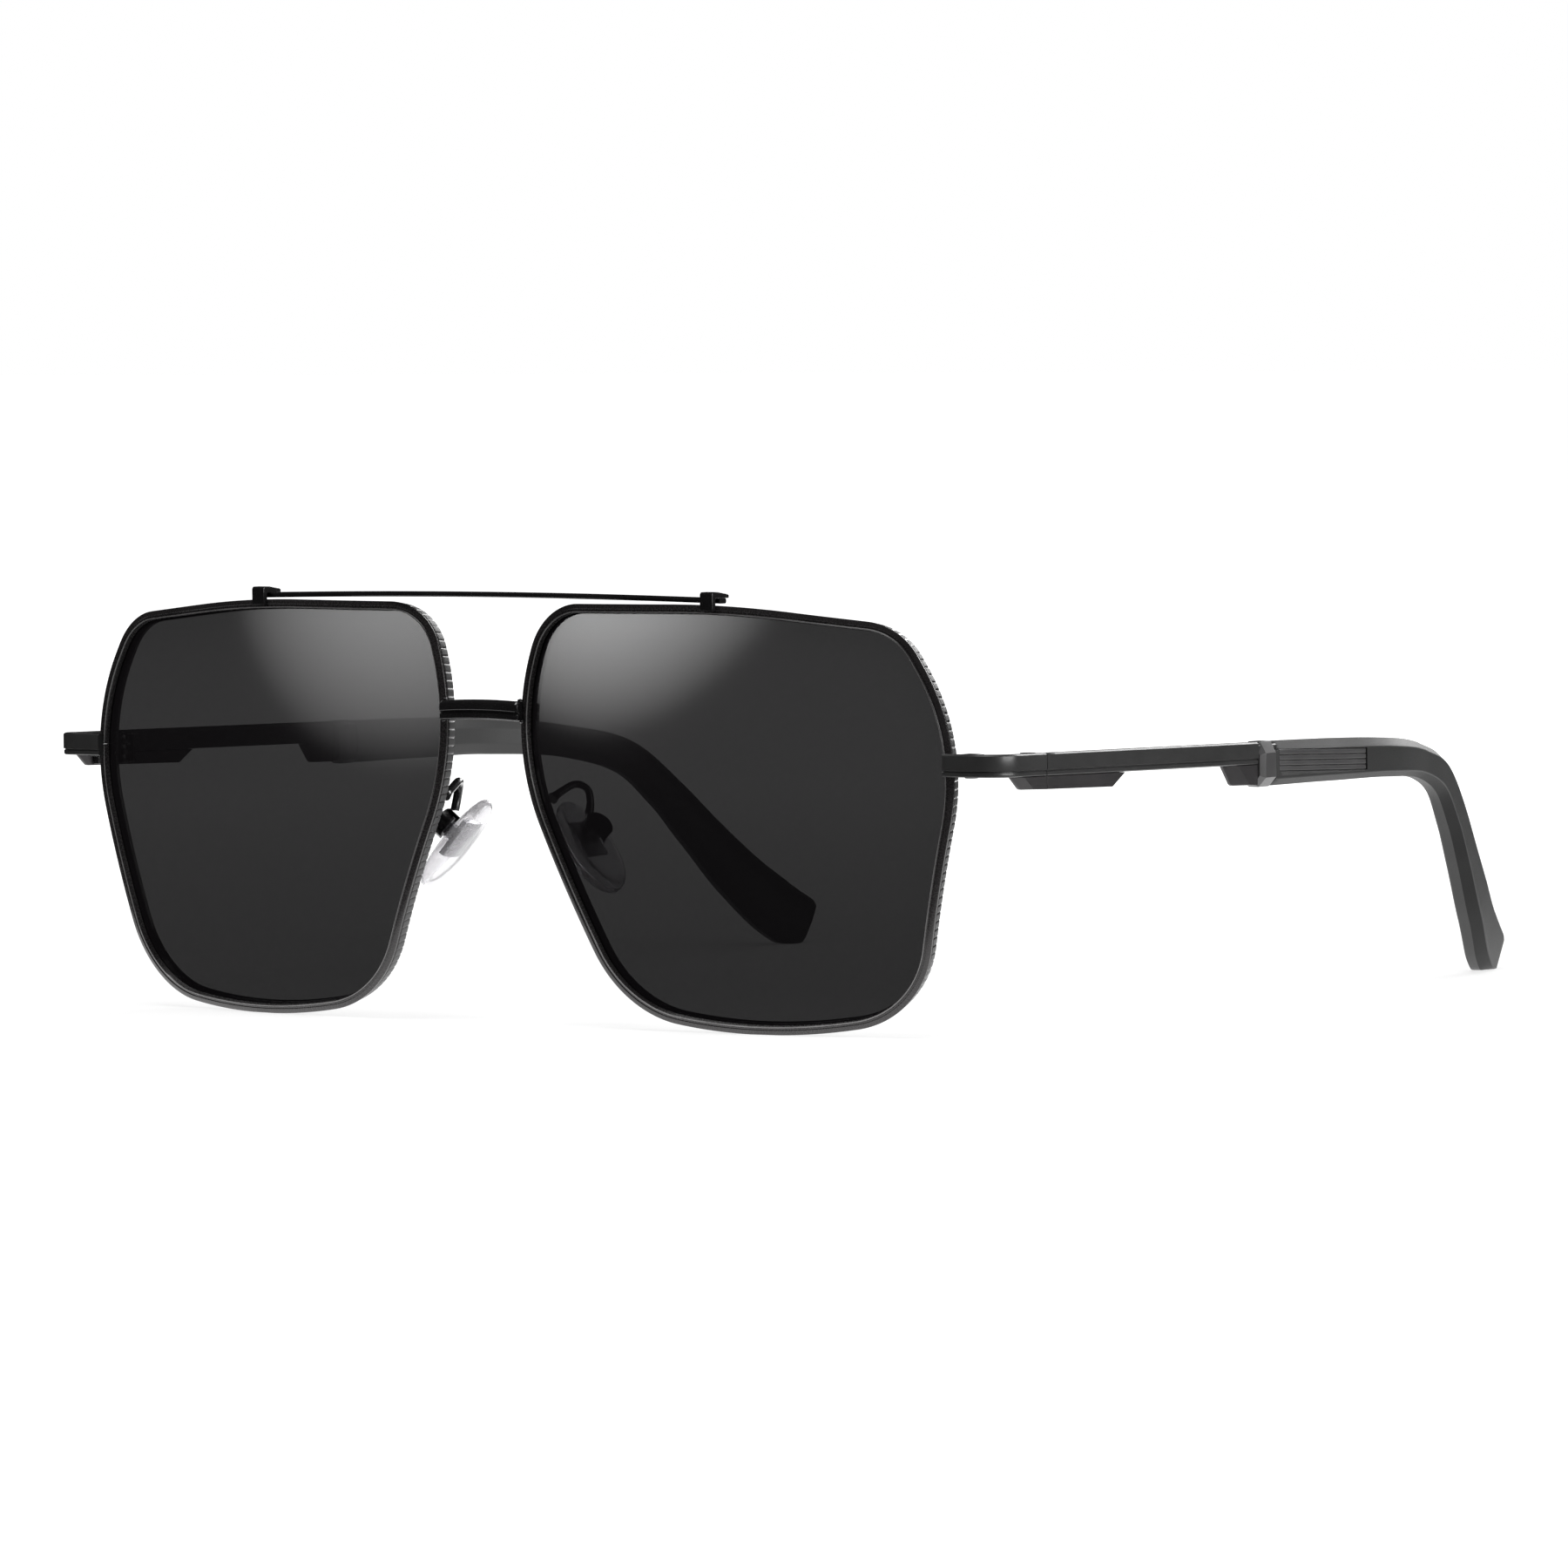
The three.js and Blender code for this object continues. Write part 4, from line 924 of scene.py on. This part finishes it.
# A rib's outline: share of its width and share of the plate's full height.
RIB_OUTLINE = (
    (0.0, 0.5), (0.05, 0.6), (0.12, 0.9), (0.22, 1.0), (0.78, 1.0), (0.88, 0.9), (0.95, 0.6), (1.0, 0.5),
)
# The plate's ends slope down: distance from the end and share of the full height there.
INLAY_END = ((0.0, 0.5), (0.1, 0.9), (0.25, 1.0))
POCKET_CLEARANCE = 0.03
POCKET_DEPTH = 0.05
POCKET_OUTWARD = 1.2


def inlay_top(y):
    return INLAY_TOP - INLAY_FALL * (y - INLAY_FRONT_Y)


def pocket_tool(side, sign):
    """A plain slab the shape of the inlay and a little larger, used to cut its pocket."""
    margin = POCKET_CLEARANCE
    y0, y1 = INLAY_FRONT_Y - margin, INLAY_BACK_Y + margin
    ring = [(y0, inlay_top(y0) + margin), (y0, inlay_top(y0) - INLAY_HEIGHT - margin),
            (y1, inlay_top(y1) - INLAY_HEIGHT - margin), (y1, inlay_top(y1) + margin)]
    ends = (INLAY_INNER_X - POCKET_DEPTH, INLAY_INNER_X + POCKET_OUTWARD)
    verts, faces = loft([[(x, y, z) for y, z in ring] for x in ends])
    name = f"pocket_{side}"
    return add_object(name, saved(solid(verts, faces, sign), name))


def tip_inlay(side, sign):
    """A plate with four flat-topped ribs parted by narrow rounded grooves."""
    rib = INLAY_HEIGHT / INLAY_RIBS
    full = INLAY_OUTER_X - INLAY_INNER_X
    profile = [(0.0, 0.0)]
    for n in range(INLAY_RIBS):
        for share, lift in RIB_OUTLINE:
            if share < 1.0 or n == INLAY_RIBS - 1:
                profile.append((lift * full, (n + share) * rib))
    profile.append((0.0, INLAY_HEIGHT))
    stations = [(INLAY_FRONT_Y + along, lift) for along, lift in INLAY_END]
    stations += [(INLAY_BACK_Y - along, lift) for along, lift in reversed(INLAY_END)]
    rings = []
    for y, lift in stations:
        rings.append([(INLAY_INNER_X + min(raised, lift * full), y, inlay_top(y) - drop)
                      for raised, drop in profile])
    verts, faces = loft(rings)
    build(f"tip_inlay_{side}_ribbed", verts, faces, f"temple_{side}", COLLAR_METAL,
          [f"tip_inlay_{side}"], sign, 30.0)


# ---- Wedges -----------------------------------------------------------------------------------

WEDGE_INNER_X = 72.65
WEDGE_OUTER_X = 73.8
WEDGE_CLEARANCE = 0.05
WEDGE_FRONT_CORNER = 0.8
WEDGE_REAR_CORNER = 0.3
WEDGE_CORNER_STEPS = 5
WEDGE_BEVEL = (0.07, 16.0, 2)
WEDGE_SAME_POINT = 0.01
WEDGE_SAME_PLANE = math.radians(2.0)
FACET_NOSE = 0.4


def wedge(name, body, node, sign, top, bottom, facet, bottom_z):
    """A cover under the bar: ends along its top, its bottom and its outer face, as distances back."""

    def outline(top_start, bottom_start, corner):
        ends = ((top_start, top[1]), (bottom_start, bottom[1]))
        tops = [(y, bar_top(y) - BAR_HEIGHT - WEDGE_CLEARANCE, 0) for y in ends[0]]
        rear = WEDGE_REAR_CORNER if bottom[1] < top[1] else 0
        bottoms = ((ends[1][1], bottom_z[1], rear), (ends[1][0], bottom_z[0], corner))
        return rounded((*tops, *bottoms), WEDGE_CORNER_STEPS)

    bm = bmesh.new()
    front_corner = WEDGE_FRONT_CORNER if facet[1] > facet[0] else 0
    for x, section in (
        (WEDGE_INNER_X, outline(top[0], bottom[0], front_corner)),
        (WEDGE_INNER_X + FACET_NOSE, outline(top[0], bottom[0], front_corner)),
        (WEDGE_OUTER_X, outline(*facet, front_corner * 0.5)),
    ):
        for y, z in section:
            bm.verts.new(place(x * sign, y, z))
    bmesh.ops.remove_doubles(bm, verts=bm.verts, dist=WEDGE_SAME_POINT * MM)
    bmesh.ops.convex_hull(bm, input=bm.verts)
    bmesh.ops.dissolve_limit(bm, angle_limit=WEDGE_SAME_PLANE, verts=bm.verts, edges=bm.edges)
    bmesh.ops.recalc_face_normals(bm, faces=bm.faces)
    soften(bm, *WEDGE_BEVEL)
    finish_piece(name, saved(bm, name), body, GUNMETAL, [node], 30.0)


def wedges(side, sign):
    start = SEAM_Y - SEAM_GAP
    wedge(f"end_piece_wedge_{side}_cut", "front", f"end_piece_wedge_{side}", sign,
          (9.0, start), (10.8, start), (10.7, 12.6), (30.5, 30.38))
    start = SEAM_Y + SEAM_GAP
    wedge(f"temple_front_wedge_{side}_cut", f"temple_{side}", f"temple_front_wedge_{side}", sign,
          (start, 31.9), (start, 29.2), (start, start), (30.38, 30.03))
    end = BAR_END_Y - 0.1
    wedge(f"temple_rear_wedge_{side}_cut", f"temple_{side}", f"temple_rear_wedge_{side}", sign,
          (53.9, end), (55.8, end), (56.3, 58.8), (28.82, 28.7))


# ---- Nose pads --------------------------------------------------------------------------------

PAD_CENTRE = Vector((10.6, 7.9, 22.4))
PAD_UP = -Vector((8.5, -1.4, -10.1)).normalized()
PAD_NOSEWARD = Vector((-0.739, 0.184, -0.648))
PAD_LENGTH = 13.9
PAD_WIDTH = 7.2
PAD_THICKNESS = 2.6
PAD_BEHIND_CORE = 1.0
# Powers that shape the pad's side view: lower ones make it flatter in front and fuller at its rim.
PAD_FACE_POWER = 0.75
PAD_RIM_POWER = 0.62
PAD_EGG = 0.1
PAD_AROUND = 56
PAD_LAYERS = 18
PAD_ARM_ROUTE = ((8.35, 3.2, 28.4), (8.6, 5.0, 29.3), (9.2, 7.0, 30.0), (10.0, 8.1, 29.45),
                 (10.4, 8.2, 27.9), (10.5, 7.8, 26.3))
PAD_ARM_R = 0.55
PAD_ARM_STEPS = 60
PAD_ARM_AROUND = 20
# The wire is pressed flatter between its ends: how much, and the shares over which that comes and goes.
PAD_ARM_PRESS = 0.16
PAD_ARM_PRESS_IN = 0.25
PAD_ARM_PRESS_OUT = 0.2
# Its foot is thicker over this first share.
PAD_ARM_FOOT = 0.3
PAD_ARM_FOOT_LENGTH = 0.1

PAD_NOSE = (PAD_NOSEWARD - PAD_UP * PAD_NOSEWARD.dot(PAD_UP)).normalized()
PAD_ACROSS = PAD_UP.cross(PAD_NOSE)


def on_pad(a, u, n):
    """A point given across the pad, up along it and towards the nose."""
    return PAD_CENTRE + PAD_ACROSS * a + PAD_UP * u + PAD_NOSE * n


def nose_pad(side, sign):
    """A soft pad with broad faces and a full rounded rim, a little wider below."""
    rings = []
    for m in range(1, PAD_LAYERS):
        polar = math.pi * m / PAD_LAYERS
        lift = math.copysign(abs(math.cos(polar)) ** PAD_FACE_POWER, math.cos(polar))
        spread = math.sin(polar) ** PAD_RIM_POWER
        noseward = PAD_THICKNESS / 2 * (1 + lift) - PAD_BEHIND_CORE
        ring = []
        for n in range(PAD_AROUND):
            a = 2 * math.pi * n / PAD_AROUND
            egg = 1 - PAD_EGG * math.sin(a)
            level = math.cos(a) * spread * egg * PAD_WIDTH / 2
            ring.append(tuple(on_pad(level, math.sin(a) * spread * PAD_LENGTH / 2, noseward)))
        rings.append(ring)
    verts, faces = loft(rings)
    build(f"nose_pad_{side}_silicone", verts, faces, f"nose_pad_{side}_body", SILICONE,
          [f"nose_pad_{side}"], sign, 60.0)


def pad_arm(side, sign):
    """Drawn wire, pressed flatter where it turns, that swells into its solder joint."""
    stations, _ = even([Vector(p) for p in PAD_ARM_ROUTE], PAD_ARM_STEPS)
    rings = []
    side_way = None
    for n, (point, _, tangent) in enumerate(stations):
        if side_way is None:
            side_way = across(tangent)[0]
        side_way = (side_way - tangent * side_way.dot(tangent)).normalized()
        other = tangent.cross(side_way).normalized()
        share = n / PAD_ARM_STEPS
        pressed = smoothstep(share / PAD_ARM_PRESS_IN) * smoothstep((1 - share) / PAD_ARM_PRESS_OUT)
        press = 1 - PAD_ARM_PRESS * pressed
        foot = 1 + PAD_ARM_FOOT * smoothstep((PAD_ARM_FOOT_LENGTH - share) / PAD_ARM_FOOT_LENGTH)
        ring = []
        for k in range(PAD_ARM_AROUND):
            a = 2 * math.pi * k / PAD_ARM_AROUND
            wide = side_way * (math.cos(a) * PAD_ARM_R * foot)
            flat = other * (math.sin(a) * PAD_ARM_R * press * foot)
            ring.append(tuple(point + wide + flat))
        rings.append(ring)
    verts, faces = loft(rings)
    build(f"pad_arm_{side}_wire", verts, faces, "front", BLACK_METAL, [f"pad_arm_{side}"],
          sign, 50.0)


# ---- Build every piece ------------------------------------------------------------------------

bridge()
brow_bar()
for side, sign in SIDES:
    rim(side, sign)
    lens(side, sign)
    brow_post(side, sign)
    end_piece(side, sign)
    temple_bar(side, sign)
    wedges(side, sign)
    collar(side, sign)
    temple_tip(side, sign)
    tip_inlay(side, sign)
    nose_pad(side, sign)
    pad_arm(side, sign)
    for level, *place_and_size in WELDS:
        weld_bead(f"bridge_weld_{level}_{side}", *place_and_size, sign)
    for node in ("rim_lock_upper", "rim_lock_lower", "hinge_front_leaf", "pad_box"):
        refined(f"{node}_{side}", "front", BLACK_METAL)
    refined(f"hinge_temple_leaf_{side}", f"temple_{side}", BLACK_METAL)
    for node in ("rim_lock_screw", "hinge_screw", "pad_screw"):
        refined(f"{node}_{side}", "front", SCREW_STEEL, 0.04)
    refined(f"pad_core_{side}", f"nose_pad_{side}_body", CORE_STEEL, 0.06)

# ---- Floor, light and camera ------------------------------------------------------------------


FLOOR_REACH = 6.0


def floor():
    """A pale floor that glows, its glow painted dimmer near the object as a painted shadow under it and
    brighter further out.
    """
    shader = Shader("studio_floor")
    cloud = shader.noise(scale=6.0, detail=2.0)
    shader.coloured(cloud, (0.36, 0.36, 0.36), (0.38, 0.38, 0.38))
    shader.set(Roughness=0.9, Specular_IOR_Level=0.0, Emission_Color=(1, 1, 1, 1))
    away = shader.add("ShaderNodeVectorMath", operation="LENGTH")
    shader.link(shader.coords, away.inputs[0])
    # Painted shadow: the floor's glow is dimmer near the object and brighter further out.
    strength = shader.ranged(away.outputs["Value"], 0.72, 1.02, start=0.1, end=0.5)
    shader.link(strength, shader.bsdf.inputs["Emission Strength"])
    reach = FLOOR_REACH
    mesh = bpy.data.meshes.new("studio_floor")
    corners = [(-reach, -reach, 0), (reach, -reach, 0), (reach, reach, 0), (-reach, reach, 0)]
    mesh.from_pydata(corners, [], [(0, 1, 2, 3)])
    mesh.materials.append(shader.material)
    obj = add_object("studio_floor", mesh)
    obj.visible_glossy = False
    obj.visible_diffuse = False
    obj.visible_shadow = False
    obj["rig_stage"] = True


def area_light(name, position, target, width, height, power, spread=180.0):
    data = bpy.data.lights.new(name, "AREA")
    data.shape = "RECTANGLE"
    data.size, data.size_y = width, height
    data.energy = power
    data.spread = math.radians(spread)
    obj = add_object(name, data)
    obj.visible_camera = False
    obj.location = position
    obj.rotation_mode = "QUATERNION"
    obj.rotation_quaternion = (Vector(target) - Vector(position)).to_track_quat("-Z", "Y")
    return obj


def world(strength):
    made = bpy.data.worlds.new("studio")
    bpy.context.scene.world = made
    made.use_nodes = True
    background = made.node_tree.nodes["Background"]
    background.inputs["Color"].default_value = (1, 1, 1, 1)
    background.inputs["Strength"].default_value = strength
    made.cycles_visibility.glossy = False
    made.cycles_visibility.diffuse = False


# The camera's angles round the part, its distance and offsets in millimetres, and its lens.
AZIMUTH = math.radians(36.51)
ELEVATION = math.radians(2.93)
ROLL = math.radians(-0.65)
DISTANCE = 1241.66
OFFSET_RIGHT = 36.946
OFFSET_UP = 6.566
TARGET_Z = 23.6
FOCAL_LENGTH = 232.4
SENSOR_WIDTH = 36.0
CLIP_START, CLIP_END = 0.05, 20.0


def camera():
    back = Vector((math.sin(AZIMUTH) * math.cos(ELEVATION), -math.cos(AZIMUTH) * math.cos(ELEVATION),
                   math.sin(ELEVATION)))
    level = Vector((math.cos(AZIMUTH), math.sin(AZIMUTH), 0))
    upright = back.cross(level)
    right = level * math.cos(ROLL) + upright * math.sin(ROLL)
    up = upright * math.cos(ROLL) - level * math.sin(ROLL)
    centre = back * DISTANCE + right * OFFSET_RIGHT + up * OFFSET_UP + Vector((0, 0, TARGET_Z))
    data = bpy.data.cameras.new("camera")
    data.lens = FOCAL_LENGTH
    data.sensor_width = SENSOR_WIDTH
    data.clip_start, data.clip_end = CLIP_START, CLIP_END
    obj = add_object("camera", data)
    turn = Matrix((right, up, back)).transposed().to_4x4()
    obj.matrix_world = Matrix.Translation(place(*centre)) @ turn
    bpy.context.scene.camera = obj


def only_on(light, objects):
    """Lets a light reach only some pieces."""
    receivers = bpy.data.collections.new(light.name + "_receivers")
    for obj in objects:
        receivers.objects.link(obj)
    light.light_linking.receiver_collection = receivers


GLOW_DISTANCE = 1.2
GLOW_SIZE = 1.6
GLOW_HEIGHT = math.radians(27)


def glow(name, bearing, power, spread, lens_name):
    """A soft light that only one lens mirrors; its narrow spread makes it fade evenly off its axis."""
    a, e = math.radians(bearing), GLOW_HEIGHT
    target = bpy.data.objects[lens_name].data.vertices[0].co
    way = Vector((math.sin(a) * math.cos(e), -math.cos(a) * math.cos(e), math.sin(e)))
    obj = area_light(name, target + way * GLOW_DISTANCE, target, GLOW_SIZE, GLOW_SIZE, power, spread)
    obj.visible_diffuse = obj.visible_transmission = False
    only_on(obj, [bpy.data.objects[lens_name]])


floor()
camera()
world(1.0)
area_light("side_right", (1.25, 0.2, 0.35), (0.06, 0.05, 0.02), 0.9, 0.6, 15.0)
area_light("top", (0.1, -0.3, 1.3), (0, 0, 0.02), 0.9, 0.6, 11.0)
area_light("rear", (-0.1, 1.3, 0.6), (0, 0, 0.02), 0.8, 0.6, 12.0)
fill = area_light("front_fill", (-0.5, -1.25, 0.3), (0, 0, 0.02), 0.7, 0.5, 7.0)
fill.visible_glossy = False
# The floor's bounce comes from just below it and reaches every piece but the lenses.
bounce = area_light("floor_bounce", (0, 0.02, -0.004), (0, 0.02, 1), 0.24, 0.24, 0.34)
pieces = [obj for obj in bpy.data.objects if obj.type == "MESH" and not obj.get("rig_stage")]
only_on(bounce, [obj for obj in pieces if "lens" not in obj.name])
glow("glow_left_lens", -45, 24.7, 58, "lens_left_ground")
glow("glow_right_lens", -26, 20.0, 66, "lens_right_ground")
bpy.context.scene.view_settings.view_transform = "Standard"
